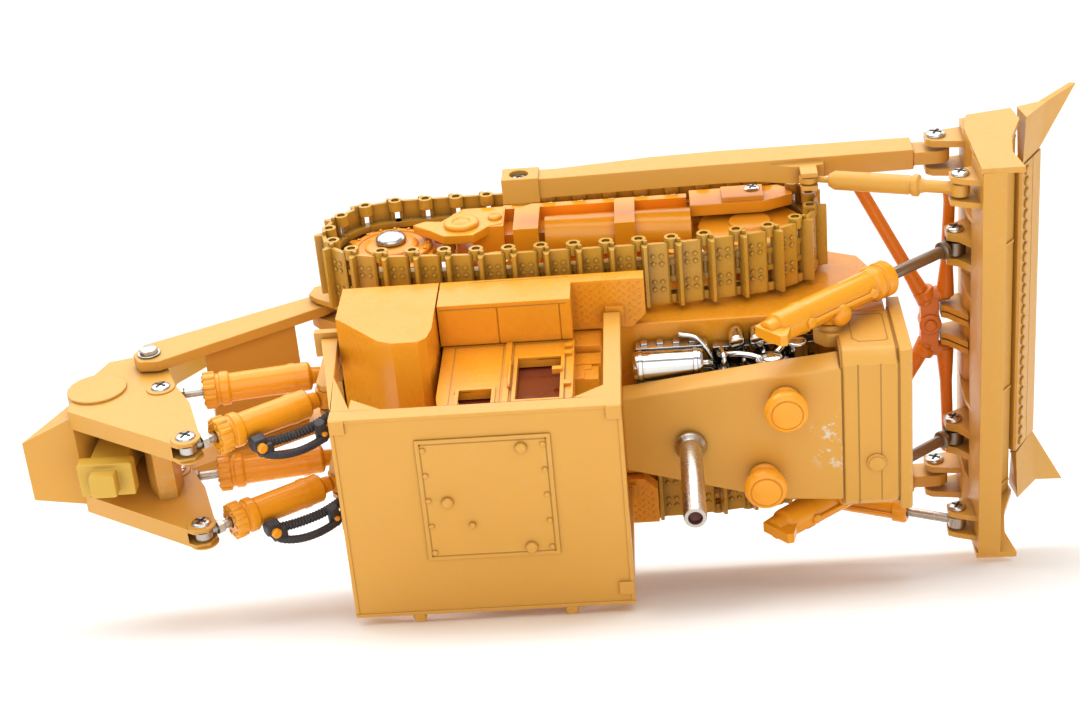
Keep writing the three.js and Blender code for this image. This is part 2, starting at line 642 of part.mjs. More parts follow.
const buildTiltBarrel = () => {
  const { rear, front } = braceEnds(-1);
  const body = join(
    bar(along(rear, front, 0.04), along(rear, front, 0.16), 0.65, SMALL),
    bar(along(rear, front, 0.13), along(rear, front, 0.62), 2.1, ROUND),
    bar(along(rear, front, 0.56), along(rear, front, 0.66), 2.6, HEX),
    crossBar(BRACE_REAR, [rear[1] - 0.7, rear[1] + 0.7], 1.9, ROUND),
  );
  return cut(body, bar(along(rear, front, 0.3), along(rear, front, 0.8), 1.3, ROUND));
};

const buildTiltRod = () => {
  const { rear, front } = braceEnds(-1);
  return join(
    bar(along(rear, front, 0.34), along(rear, front, 0.96), 1, ROUND),
    crossBar(BRACE_PIN, [front[1] - 1.4, front[1] + 1.4], 1.9, ROUND),
  );
};

const buildCentreLink = () => {
  const hub = { x: 70.2, z: 11.4 };
  const strut = [-1, 1].map((side) => (
    bar([73.4, side * 6.2, 11.6], [74, side * 30.6, 13.4], 1.4, SMALL)
  ));
  const diagonal = [-1, 1].map((side) => (
    bar([69.6, side * 4.6, 11.4], [54, side * 35.4, 11.8], 1.55, SMALL)
  ));
  const middle = join(
    box([68.4, 71.6], [-6.6, 6.6], [10, 13]),
    bar([70, -6.2, 11.5], [74.2, -6.8, 11.6], 1.5, SMALL),
    bar([70, 6.2, 11.5], [74.2, 6.8, 11.6], 1.5, SMALL),
  );
  return join(middle, strut, diagonal, bar([hub.x, 0, 9.4], [hub.x, 0, 13.6], 2.2, ROUND));
};

// ---------- hydraulic cylinders ----------
const liftDirection = () => {
  const run = [LIFT_EYE.x - LIFT_PIVOT.x, LIFT_EYE.z - LIFT_PIVOT.z];
  const length = Math.hypot(...run);
  return { length, x: run[0] / length, z: run[1] / length };
};

const onLift = (side, distance) => {
  const way = liftDirection();
  return [LIFT_PIVOT.x + way.x * distance, side * LIFT_PIVOT.y, LIFT_PIVOT.z + way.z * distance];
};

const buildLiftBarrel = (side) => {
  const way = liftDirection();
  const across = (at, width, y) => {
    const [x, , z] = onLift(side, at);
    return [[x - way.z * width, y, z + way.x * width], [x + way.z * width, y, z - way.x * width]];
  };
  const flag = (at0, at1, width0, width1) => {
    const [a, b] = across(at0, width0, 0);
    const [c, d] = across(at1, width1, 0);
    return sidePlate([[a[0], a[2]], [b[0], b[2]], [d[0], d[2]], [c[0], c[2]]], spanY(side, 20.9, 23.1));
  };
  const body = join(
    bar(onLift(side, -14.5), onLift(side, 15.5), 3, FINE),
    bar(onLift(side, 11.5), onLift(side, ROUND), 3.7, HEX),
    flag(-17.4, -12.6, 5.2, 2.6),
    bar(onLift(side, -16.6), onLift(side, -14), 2.2, ROUND),
    crossBar(LIFT_PIVOT, spanY(side, 18.7, 20.6), 2.5, FINE),
  );
  return cut(body, bar(onLift(side, -9), onLift(side, FINE), 1.6, ROUND));
};

const buildLiftRod = (side) => {
  const eye = [LIFT_EYE.x, side * LIFT_CLEVIS_Y, LIFT_EYE.z];
  const way = liftDirection();
  const body = join(
    bar(onLift(side, 2), onLift(side, way.length - 1.6), 1.2, ROUND),
    crossBar(LIFT_EYE, spanY(side, LIFT_CLEVIS_Y - 1.4, LIFT_CLEVIS_Y + 1.4), 2.3, FINE),
  );
  return cut(body, bar([eye[0], eye[1] - 3, eye[2]], [eye[0], eye[1] + 3, eye[2]], 1.55, ROUND));
};

const between = (from, to, distance, y) => {
  const run = [to.x - from.x, to.z - from.z];
  const length = Math.hypot(...run);
  return [from.x + (run[0] / length) * distance, y, from.z + (run[1] / length) * distance];
};

const spanOf = (from, to) => Math.hypot(to.x - from.x, to.z - from.z);

const buildRipperBarrel = (root, eye, side, reach) => {
  const y = side * RIPPER_CYL_Y;
  const body = join(
    bar(between(root, eye, 4.4, y), between(root, eye, reach, y), 2.9, ROUND),
    bar(between(root, eye, reach - 3.4, y), between(root, eye, reach + 0.3, y), 3.5, SMALL),
    bar(between(root, eye, 0.7, y), between(root, eye, 5.2, y), 1.7, SMALL),
    crossBar(root, [y - 1.95, y + 1.95], 2.2, ROUND),
  );
  const bore = bar(between(root, eye, reach - 12, y), between(root, eye, reach + 2, y), 1.2, ROUND);
  const eyeHole = crossBar(root, [y - 4, y + 4], 1.15, ROUND);
  return cut(body, bore, eyeHole);
};

const buildRipperRod = (root, eye, side, reach) => {
  const y = side * RIPPER_CYL_Y;
  const body = join(
    bar(between(root, eye, reach - 8, y), between(root, eye, spanOf(root, eye) - 1.2, y), 0.9, ROUND),
    crossBar(eye, [y - 0.75, y + 0.75], 1.9, ROUND),
  );
  return cut(body, crossBar(eye, [y - 3, y + 3], 1.25, ROUND));
};

// ---------- ripper ----------
const buildRipperBeam = () => {
  const side = (y) => sidePlate([
    [-54.6, 8.6], [-57.6, 8.6], [-93, 28.6], [-94.4, 33], [-92.6, 36.4], [-88.6, 36.6], [-56.6, 15.4],
    [-54.2, 12.6],
  ], y);
  const plates = [-1, 1].map((s) => side(spanY(s, 12.1, 14.4)));
  const cross = sidePlate([
    [-64.5, 14], [-82, 24.2], [-80.6, 28.4], [-63.4, 17.6],
  ], [-12.4, 12.4]);
  const holes = [RIPPER_ROOT, RIPPER_HINGE].map((at) => crossBar(at, [-20, 20], 1.45, ROUND));
  return cut(join(plates, cross), holes);
};

const buildHingePin = (side) => join(
  crossBar(RIPPER_HINGE, spanY(side, 12, 14.9), 1.1, ROUND),
  crossBar(RIPPER_HINGE, spanY(side, 14.7, 15.9), 1.9, HEX),
);

const buildRipperFrame = () => {
  const cheek = (near0, far0) => (side) => {
    const outline = [
      [-75.6, 63.6], [-76.6, 66.4], [-79.4, 67], [-104.6, 50.6], [-104.6, 42], [-100.4, 30.2],
      [-92, 27.6], [-88.4, 31.4], [-84.6, 41.6], [-80, 50],
    ];
    return sidePlate(outline, spanY(side, near0, far0));
  };
  const plates = [-1, 1].map(cheek(7.7, 11.7));
  const slots = [-1, 1].flatMap((side) => [
    sidePlate([
      [-72, 60], [-74, 70], [-80.6, 66.8], [-82.6, 60.6], [-77, 57.4],
    ], spanY(side, 8.5, 10.9)),
    sidePlate([
      [-78, 38.6], [-76, 49], [-88.6, 47.2], [-91.2, 42.6], [-88.6, 37.8],
    ], spanY(side, 8.5, 10.9)),
  ]);
  const pins = [-1, 1].flatMap((side) => [RIPPER_LIFT_EYE, RIPPER_TILT_EYE].map((eye) => (
    crossBar(eye, spanY(side, 8, 11.4), 0.8, SMALL)
  )));
  const rear = loft([
    [[-114, -6.6, 53.4], [-114, 6.6, 53.4], [-101.4, 9, 30.6], [-101.4, -9, 30.6]],
    [[-104.2, -10, 50.4], [-104.2, 10, 50.4], [-91, 10, 28.4], [-91, -10, 28.4]],
  ]);
  const pocket = box([-101.6, -92.6], [-3.4, 3.4], [20, 70]);
  const wall = sidePlate([
    [-88.4, 54.2], [-84.8, 53.6], [-84.6, 48], [-92, 30], [-96, 33], [-91, 50],
  ], [-8.2, 8.2]);
  const discs = [-1, 1].map((side) => crossBar({ x: -100.3, z: 42.4 }, spanY(side, 8, 12.2), 6, FINE));
  return cut(join(cut(join(plates), slots), pins, rear, wall, discs), pocket);
};

const buildShank = () => {
  const blade = sidePlate([
    [-100.8, 57.8], [-93.4, 57.8], [-93.4, 24], [-91.2, 14], [-86.4, 7.4], [-82.6, 4.6], [-84.6, 3.4],
    [-91.6, 5], [-97.4, 12.6], [-100.8, 24],
  ], [-2.7, 2.7]);
  const head = join(
    box([-102.6, -91.6], [-3.6, 3.6], [55.4, 58.4]),
    box([-99.8, -94.6], [-2.4, 2.4], [58.2, 61.4]),
  );
  return join(blade, head);
};

// ---------- hoses ----------
const buildHose = (side) => {
  const y = side * RIPPER_CYL_Y;
  const at = (distance, lift, offset) => {
    const [x, , z] = between(RIPPER_TILT_ROOT, RIPPER_TILT_EYE, distance, y);
    const rise = RIPPER_TILT_EYE.z - RIPPER_TILT_ROOT.z;
    const slope = Math.atan2(rise, RIPPER_TILT_EYE.x - RIPPER_TILT_ROOT.x);
    return [x + lift * Math.sin(slope), y + offset, z - lift * Math.cos(slope)];
  };
  const block = bar(at(14.8, 4.3, -1.8), at(10.6, 4.3, -1.8), 1.5, SMALL);
  const first = sweep([
    at(12, 4.6, -2), at(8, 5.6, -2.4), at(3.6, 5.8, -1.8), at(0.6, 5.2, -0.8),
  ], 0.95, 8, HEX);
  const second = sweep([
    at(14.2, 4.4, -2.4), at(13, 6.2, -4), at(8.6, 7.8, -4.8),
    at(4, 7.6, -4), at(1.2, 6, -1.6), at(0.6, 5.2, -0.9),
  ], 0.95, 11, HEX);
  return join(block, first, second);
};

// ---------- assembly ----------
const part = new THREE.Group();
part.name = 'toy_bulldozer';

const layout = new THREE.Group();
layout.name = 'layout';
layout.position.x = -CENTRE_X;
part.add(layout);

const body = (name, parent = layout) => {
  const group = new THREE.Group();
  group.name = name;
  parent.add(group);
  return group;
};

const place = (group, name, solid, look, position = [0, 0, 0]) => {
  const mesh = toMesh(name, solid, look);
  mesh.position.set(...position);
  group.add(mesh);
};

const machine = body('machine');
place(machine, 'hull', buildHull(), YELLOW);
place(machine, 'ripper_bracket', buildRipperBracket(), OCHRE);
place(machine, 'hood', buildHood(), OCHRE);
place(machine, 'radiator_housing', buildHousing(), YELLOW);
place(machine, 'radiator_guard', buildGuard(), OCHRE);
place(machine, 'engine', buildEngine(), CHROME);
place(machine, 'silencer', buildSilencer(), CHROME);
place(machine, 'exhaust_pipe', buildExhaust(), STEEL, [18.1, -1.5, 55.4]);
place(machine, 'precleaner_left', buildPrecleaner(), YELLOW, [36.6, 8.6, 57.7]);
place(machine, 'precleaner_right', buildPrecleaner(), YELLOW, [32.1, -8.2, 57.6]);
place(machine, 'cab', buildCab(), YELLOW);
place(machine, 'cab_glazing', buildGlazing(), GLAZING);
place(machine, 'fuel_tank', buildTank(), YELLOW);
place(machine, 'canopy', buildCanopy(), OCHRE);
place(machine, 'roof_hatch', buildHatch(), OCHRE);

for (const side of [1, -1]) {
  const name = sideName(side);
  place(machine, `${name}_fender`, buildFender(side), YELLOW);
  place(machine, `${name}_rear_foot`, buildRearFoot(side), OCHRE);
  place(machine, `${name}_track_belt`, buildBelt(side), TRACK);
  place(machine, `${name}_track_frame`, buildTrackFrame(side), YELLOW);
  place(machine, `${name}_idler_yoke`, buildIdlerYoke(side), YELLOW);

  const drive = body(`${name}_drive`);
  place(drive, `${name}_sprocket`, buildSprocket(side), ORANGE, [SPROCKET.x, 0, SPROCKET.z]);
  place(drive, `${name}_sprocket_rivet`, buildRivet(side), STEEL, [SPROCKET.x, side * 28.7, SPROCKET.z]);
  const front = body(`${name}_front_wheel`);
  place(front, `${name}_idler`, buildIdler(side), YELLOW, [IDLER.x, 0, IDLER.z]);

  const lift = body(`${name}_lift_barrel_body`);
  place(lift, `${name}_lift_barrel`, buildLiftBarrel(side), YELLOW);
  const rod = body(`${name}_lift_rod_body`, lift);
  place(rod, `${name}_lift_rod`, buildLiftRod(side), STEEL);
}

const bladeFrame = body('blade_frame');
place(bladeFrame, 'blade', buildBlade(), OCHRE);
place(bladeFrame, 'cutting_edge', buildCuttingEdge(), OCHRE);
place(bladeFrame, 'left_end_bit', buildEndBit(1), OCHRE);
place(bladeFrame, 'right_end_bit', buildEndBit(-1), OCHRE);
place(bladeFrame, 'left_push_arm', buildPushArm(1), OCHRE);
place(bladeFrame, 'right_push_arm', buildPushArm(-1), OCHRE);
place(bladeFrame, 'left_brace', buildBrace(), YELLOW);
place(bladeFrame, 'right_tilt_barrel', buildTiltBarrel(), YELLOW);
place(bladeFrame, 'right_tilt_rod', buildTiltRod(), STEEL);
place(bladeFrame, 'centre_link', buildCentreLink(), ORANGE);

const ripperArm = body('ripper_arm');
place(ripperArm, 'ripper_beam', buildRipperBeam(), OCHRE);

const ripperHead = body('ripper_head');
place(ripperHead, 'ripper_frame', buildRipperFrame(), OCHRE);
place(ripperHead, 'ripper_shank', buildShank(), YELLOW);

const cylinders = [
  { kind: 'lift', root: RIPPER_LIFT_ROOT, eye: RIPPER_LIFT_EYE, reach: 26 },
  { kind: 'tilt', root: RIPPER_TILT_ROOT, eye: RIPPER_TILT_EYE, reach: 24.5 },
];
for (const side of [1, -1]) {
  const name = sideName(side);
  place(ripperHead, `${name}_hinge_pin`, buildHingePin(side), STEEL);
  for (const { kind, root, eye, reach } of cylinders) {
    const barrel = body(`${name}_ripper_${kind}_barrel_body`);
    place(barrel, `${name}_ripper_${kind}_barrel`, buildRipperBarrel(root, eye, side, reach), YELLOW);
    if (kind === 'tilt') place(barrel, `${name}_hose_set`, buildHose(side), HOSE);
    const rod = body(`${name}_ripper_${kind}_rod_body`, barrel);
    place(rod, `${name}_ripper_${kind}_rod`, buildRipperRod(root, eye, side, reach), STEEL);
  }
}

export default part;
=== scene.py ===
import math

import bmesh
import bpy
from mathutils import Matrix, Vector


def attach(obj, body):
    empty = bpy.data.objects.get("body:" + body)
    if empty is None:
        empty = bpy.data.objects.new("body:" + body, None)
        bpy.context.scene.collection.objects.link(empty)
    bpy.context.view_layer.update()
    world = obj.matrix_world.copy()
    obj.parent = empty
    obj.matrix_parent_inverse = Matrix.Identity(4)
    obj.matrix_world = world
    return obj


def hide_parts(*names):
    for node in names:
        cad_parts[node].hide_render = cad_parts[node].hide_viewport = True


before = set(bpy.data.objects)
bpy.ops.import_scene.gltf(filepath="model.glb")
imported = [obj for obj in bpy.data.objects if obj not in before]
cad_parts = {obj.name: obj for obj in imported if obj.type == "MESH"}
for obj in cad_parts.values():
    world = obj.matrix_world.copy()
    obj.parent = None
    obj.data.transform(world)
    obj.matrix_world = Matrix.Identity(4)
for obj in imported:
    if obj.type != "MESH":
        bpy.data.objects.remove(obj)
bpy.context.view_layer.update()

# All shapes below are written in the machine's own layout, in millimetres.
# CENTRE_X is the middle of its length there; the frame has x = 0 at that point.
MM = 0.001
CENTRE_X = -6.35
TO_FRAME = Matrix.Scale(MM, 4) @ Matrix.Translation((-CENTRE_X, 0, 0))
UP = (0, 0, 1)
LEFT = (0, 1, 0)
SIDES = (("left", 1), ("right", -1))
EDGE_ANGLE = 38
RIBBON_DEPTH = 0.1

# Tracks: wheel axes as (x, z), the radius of the chain's pins, the top run's rests.
SPROCKET = (-41, 16)
IDLER = (33, 16)
PIN_R = 12.6
CARRIER_Z = 30.9
CARRIER_X = (-19, 18)
LINKS = 35
BELT_INNER, BELT_OUTER = 18.4, 32.3
TEETH = 12

# Blade linkage: pins as (x, z), with the distances of its parts from the middle.
LIFT_PIVOT = (46.5, 44.5)
LIFT_EYE = (73.9, 21.6)
LIFT_CYL_Y = 22
TRUNNION = (-13.5, 14)
ARM_PIN = (71.4, 11.2)
BRACE_REAR, BRACE_REAR_Y = (45, 18.6), 37.5
BRACE_PIN, BRACE_PIN_Y = (73.6, 30), 38.2

# Ripper: its hinge and the ends of its lift and tilt cylinders as (x, z).
RIPPER_HINGE = (-91, 33)
LIFT_ROOT, LIFT_END = (-53.2, 37), (-87.1, 43.2)
TILT_ROOT, TILT_END = (-53.2, 46.8), (-78.2, 64.4)
RIPPER_CYL_Y = 9.7

# Heights of the roof's top face and of the fenders' tread.
TOP = 79
TREAD_Z = 40.3


# ---------- materials ----------
class Shader:
    """A node material under construction."""

    def __init__(self, name):
        self.mat = bpy.data.materials.new(name)
        self.mat.use_nodes = True
        self.tree = self.mat.node_tree
        self.bsdf = self.tree.nodes["Principled BSDF"]
        self.coords = self.node("ShaderNodeTexCoord")

    def node(self, kind, **values):
        made = self.tree.nodes.new(kind)
        for key, value in values.items():
            setattr(made, key, value)
        return made

    def link(self, start, end):
        self.tree.links.new(start, end)

    def noise(self, scale, detail=4.0, roughness=0.6, stretch=None):
        made = self.node("ShaderNodeTexNoise")
        made.inputs["Scale"].default_value = scale
        made.inputs["Detail"].default_value = detail
        made.inputs["Roughness"].default_value = roughness
        source = self.coords.outputs["Object"]
        if stretch:
            mapping = self.node("ShaderNodeMapping")
            mapping.inputs["Scale"].default_value = stretch
            self.link(source, mapping.inputs["Vector"])
            source = mapping.outputs["Vector"]
        self.link(source, made.inputs["Vector"])
        return made.outputs["Fac"]

    def ramp(self, fac, low, high, start=0.0, end=1.0):
        made = self.node("ShaderNodeMapRange")
        made.inputs["From Min"].default_value = low
        made.inputs["From Max"].default_value = high
        made.inputs["To Min"].default_value = start
        made.inputs["To Max"].default_value = end
        self.link(fac, made.inputs["Value"])
        return made.outputs["Result"]

    def times(self, a, b):
        made = self.node("ShaderNodeMath", operation="MULTIPLY", use_clamp=True)
        for socket, value in zip(made.inputs, (a, b)):
            if isinstance(value, (int, float)):
                socket.default_value = value
            else:
                self.link(value, socket)
        return made.outputs["Value"]

    def mix(self, fac, a, b):
        made = self.node("ShaderNodeMix", data_type="RGBA", blend_type="MIX")
        if isinstance(fac, (int, float)):
            made.inputs["Factor"].default_value = fac
        else:
            self.link(fac, made.inputs["Factor"])
        for socket, value in ((made.inputs[6], a), (made.inputs[7], b)):
            if isinstance(value, tuple):
                socket.default_value = (*value, 1)
            else:
                self.link(value, socket)
        return made.outputs[2]

    def edges(self, low, high):
        geometry = self.node("ShaderNodeNewGeometry")
        return self.ramp(geometry.outputs["Pointiness"], low, high)

    # Painted shade: 1 deep in corners and creases where ambient occlusion finds shade, falling to 0
    # in the open.
    def crevice_shade(self, distance=0.003):
        shade = self.node("ShaderNodeAmbientOcclusion", samples=8)
        shade.inputs["Distance"].default_value = distance
        return self.ramp(shade.outputs["AO"], 0.45, 0.95, 1.0, 0.0)

    def near(self, centre, radius):
        """1 at a point of the layout, falling to 0 at the radius in millimetres."""
        gap = self.node("ShaderNodeVectorMath", operation="DISTANCE")
        self.link(self.coords.outputs["Object"], gap.inputs[0])
        gap.inputs[1].default_value = TO_FRAME @ Vector(centre)
        return self.ramp(gap.outputs["Value"], 0.0, radius * MM, 1.0, 0.0)

    def colour(self, socket):
        self.link(socket, self.bsdf.inputs["Base Color"])

    def rough(self, fac, low, high):
        self.link(self.ramp(fac, 0.3, 0.7, low, high), self.bsdf.inputs["Roughness"])

    def bump(self, height, strength, depth=0.0002):
        made = self.node("ShaderNodeBump")
        made.inputs["Strength"].default_value = strength
        made.inputs["Distance"].default_value = depth
        self.link(height, made.inputs["Height"])
        self.link(made.outputs["Normal"], self.bsdf.inputs["Normal"])


def painted(name, base, dark, chips_at=None):
    """Satin paint over a casting: mottled, with painted shade in its corners, rubbed at edges."""
    s = Shader(name)
    cloud = s.ramp(s.noise(28, 4), 0.3, 0.7)
    fine = s.noise(700, 3)
    tone = s.mix(cloud, base, tuple(0.95 * c for c in base))
    # Painted shade: corners and creases darkened towards the dark colour.
    tone = s.mix(s.times(s.crevice_shade(), 0.55), tone, dark)
    wear = s.times(s.edges(0.56, 0.66), s.ramp(s.noise(420, 6, 0.7), 0.52, 0.64))
    tone = s.mix(s.times(wear, 0.45), tone, (0.62, 0.47, 0.24))
    if chips_at:
        spots = s.ramp(s.noise(380, 6, 0.75), 0.56, 0.6)
        patch = s.ramp(s.near(*chips_at), 0.0, 0.5)
        tone = s.mix(s.times(s.times(spots, patch), 0.9), tone, (0.72, 0.66, 0.52))
    s.colour(tone)
    s.rough(fine, 0.34, 0.5)
    s.bsdf.inputs["Specular IOR Level"].default_value = 0.45
    s.bsdf.inputs["Coat Weight"].default_value = 0.15
    s.bsdf.inputs["Coat Roughness"].default_value = 0.2
    s.bump(fine, 0.12, 0.00012)
    return s.mat


def plastic(name, base, dark, rough=(0.22, 0.34), glow=0.12, shade_strength=0.45):
    """Injection-moulded plastic: slight translucency, flow marks and soft edges."""
    s = Shader(name)
    flow = s.ramp(s.noise(45, 4, 0.55, (1, 2.2, 1)), 0.35, 0.65)
    fine = s.noise(900, 3)
    tone = s.mix(flow, base, tuple(0.93 * c for c in base))
    # Painted shade: crevices darkened towards the dark colour, as strongly as the last argument
    # says.
    tone = s.mix(s.times(s.crevice_shade(0.0025), shade_strength), tone, dark)
    s.colour(tone)
    s.rough(s.noise(150, 4), *rough)
    s.bsdf.inputs["Subsurface Weight"].default_value = glow
    s.bsdf.inputs["Subsurface Radius"].default_value = (0.0014, 0.0007, 0.0002)
    s.bsdf.inputs["Subsurface Scale"].default_value = 1.0
    s.bump(fine, 0.06, 0.0001)
    return s.mat


def metal(name, base, dark, rough, stretch=(1, 1, 1), scratch=0.1, tarnish=0.35,
          corner_shade=(0.0015, 0.6)):
    """Metal with fine scratches and tarnish; the last argument is the (reach, strength) of the
    painted shade that darkens its corners.
    """
    s = Shader(name)
    lines = s.noise(420, 6, 0.7, stretch)
    tone = s.mix(s.ramp(s.noise(130, 5), 0.45, 0.7, 0, tarnish), base, dark)
    # Painted shade: corners darkened towards a third of the dark colour.
    tone = s.mix(s.times(s.crevice_shade(corner_shade[0]), corner_shade[1]), tone, tuple(0.3 * c for c in dark))
    s.colour(tone)
    s.bsdf.inputs["Metallic"].default_value = 1.0
    s.rough(lines, *rough)
    s.bump(lines, scratch, 0.00008)
    return s.mat


# A base colour, and the darker colour that the painted shade in corners goes towards.
OCHRE_TONES = (0.72, 0.36, 0.052), (0.25, 0.12, 0.02)
OCHRE = painted("ochre_paint", *OCHRE_TONES)
HOOD_OCHRE = painted("ochre_paint_chipped", *OCHRE_TONES, ((47.5, -1, 57.4), 8))
# The second colour of each plastic is the colour its painted shade in crevices goes towards.
YELLOW = plastic("yellow_plastic", (0.88, 0.35, 0.016), (0.36, 0.12, 0.01))
BRIGHT = plastic("bright_yellow_plastic", (0.93, 0.375, 0.016), (0.42, 0.14, 0.01), (0.16, 0.26))
ORANGE = plastic("orange_plastic", (0.80, 0.215, 0.012), (0.28, 0.06, 0.008), (0.26, 0.38))
WHEEL = plastic("wheel_plastic", (0.88, 0.33, 0.02), (0.34, 0.10, 0.01), (0.22, 0.34))
# The track's last value gives it a stronger painted shade in its crevices.
TRACK = plastic("track_plastic", (0.62, 0.335, 0.036), (0.12, 0.05, 0.012), (0.22, 0.36), 0.05, 0.7)
STEEL = metal("bare_steel", (0.60, 0.57, 0.52), (0.26, 0.22, 0.18), (0.22, 0.38), (1, 1, 6))
# Chrome takes a wider and stronger painted shade in its corners.
CHROME = metal("chrome_plating", (0.82, 0.80, 0.77), (0.45, 0.42, 0.36), (0.05, 0.14), scratch=0.05,
               tarnish=0.2, corner_shade=(0.004, 0.85))
DULL_STEEL = metal("dull_steel", (0.36, 0.31, 0.26), (0.20, 0.16, 0.12), (0.28, 0.42), (1, 1, 6))
SCREW = metal("screw_steel", (0.70, 0.69, 0.66), (0.36, 0.34, 0.31), (0.16, 0.3))
# Near black laid as painted shade in screw recesses.
SLOT_SHADE = plastic("slot_shadow", (0.03, 0.024, 0.018), (0.01, 0.01, 0.01), (0.5, 0.7), 0.0)
# Dark ochre laid as painted shade in grooves, seams and joints.
SEAM_SHADE = plastic("seam_shadow", (0.42, 0.20, 0.03), (0.16, 0.07, 0.015), (0.45, 0.6), 0.0)
SHANK = painted("shank_paint", (0.66, 0.40, 0.045), (0.22, 0.12, 0.02))
PIPE_RED = plastic("pipe_mouth_red", (0.16, 0.02, 0.012), (0.05, 0.01, 0.01), (0.3, 0.5), 0.0)


def make_glazing():
    s = Shader("red_glazing")
    depth = s.ramp(s.noise(70, 3), 0.3, 0.7)
    s.colour(s.mix(depth, (0.115, 0.016, 0.007), (0.165, 0.025, 0.010)))
    s.rough(s.noise(300, 3), 0.07, 0.16)
    s.bsdf.inputs["Coat Weight"].default_value = 0.5
    s.bsdf.inputs["Coat Roughness"].default_value = 0.08
    s.bump(s.noise(250, 2), 0.04)
    return s.mat


def make_hose():
    s = Shader("hose_rubber")
    s.colour(s.mix(s.noise(500, 4), (0.018, 0.019, 0.023), (0.05, 0.05, 0.056)))
    s.rough(s.noise(400, 4), 0.38, 0.6)
    s.bump(s.noise(1200, 3), 0.2)
    return s.mat


def make_floor():
    s = Shader("pale_floor")
    s.colour(s.mix(s.noise(3, 3), (0.86, 0.86, 0.855), (0.88, 0.88, 0.875)))
    s.rough(s.noise(8, 3), 0.5, 0.6)
    s.bump(s.noise(60, 4), 0.02)
    geometry = s.node("ShaderNodeNewGeometry")
    clear = s.node("ShaderNodeBsdfTransparent")
    blend = s.node("ShaderNodeMixShader")
    s.link(geometry.outputs["Backfacing"], blend.inputs["Fac"])
    s.link(s.bsdf.outputs["BSDF"], blend.inputs[1])
    s.link(clear.outputs["BSDF"], blend.inputs[2])
    s.link(blend.outputs["Shader"], s.tree.nodes["Material Output"].inputs["Surface"])
    return s.mat


GLAZING = make_glazing()
HOSE = make_hose()
FLOOR = make_floor()


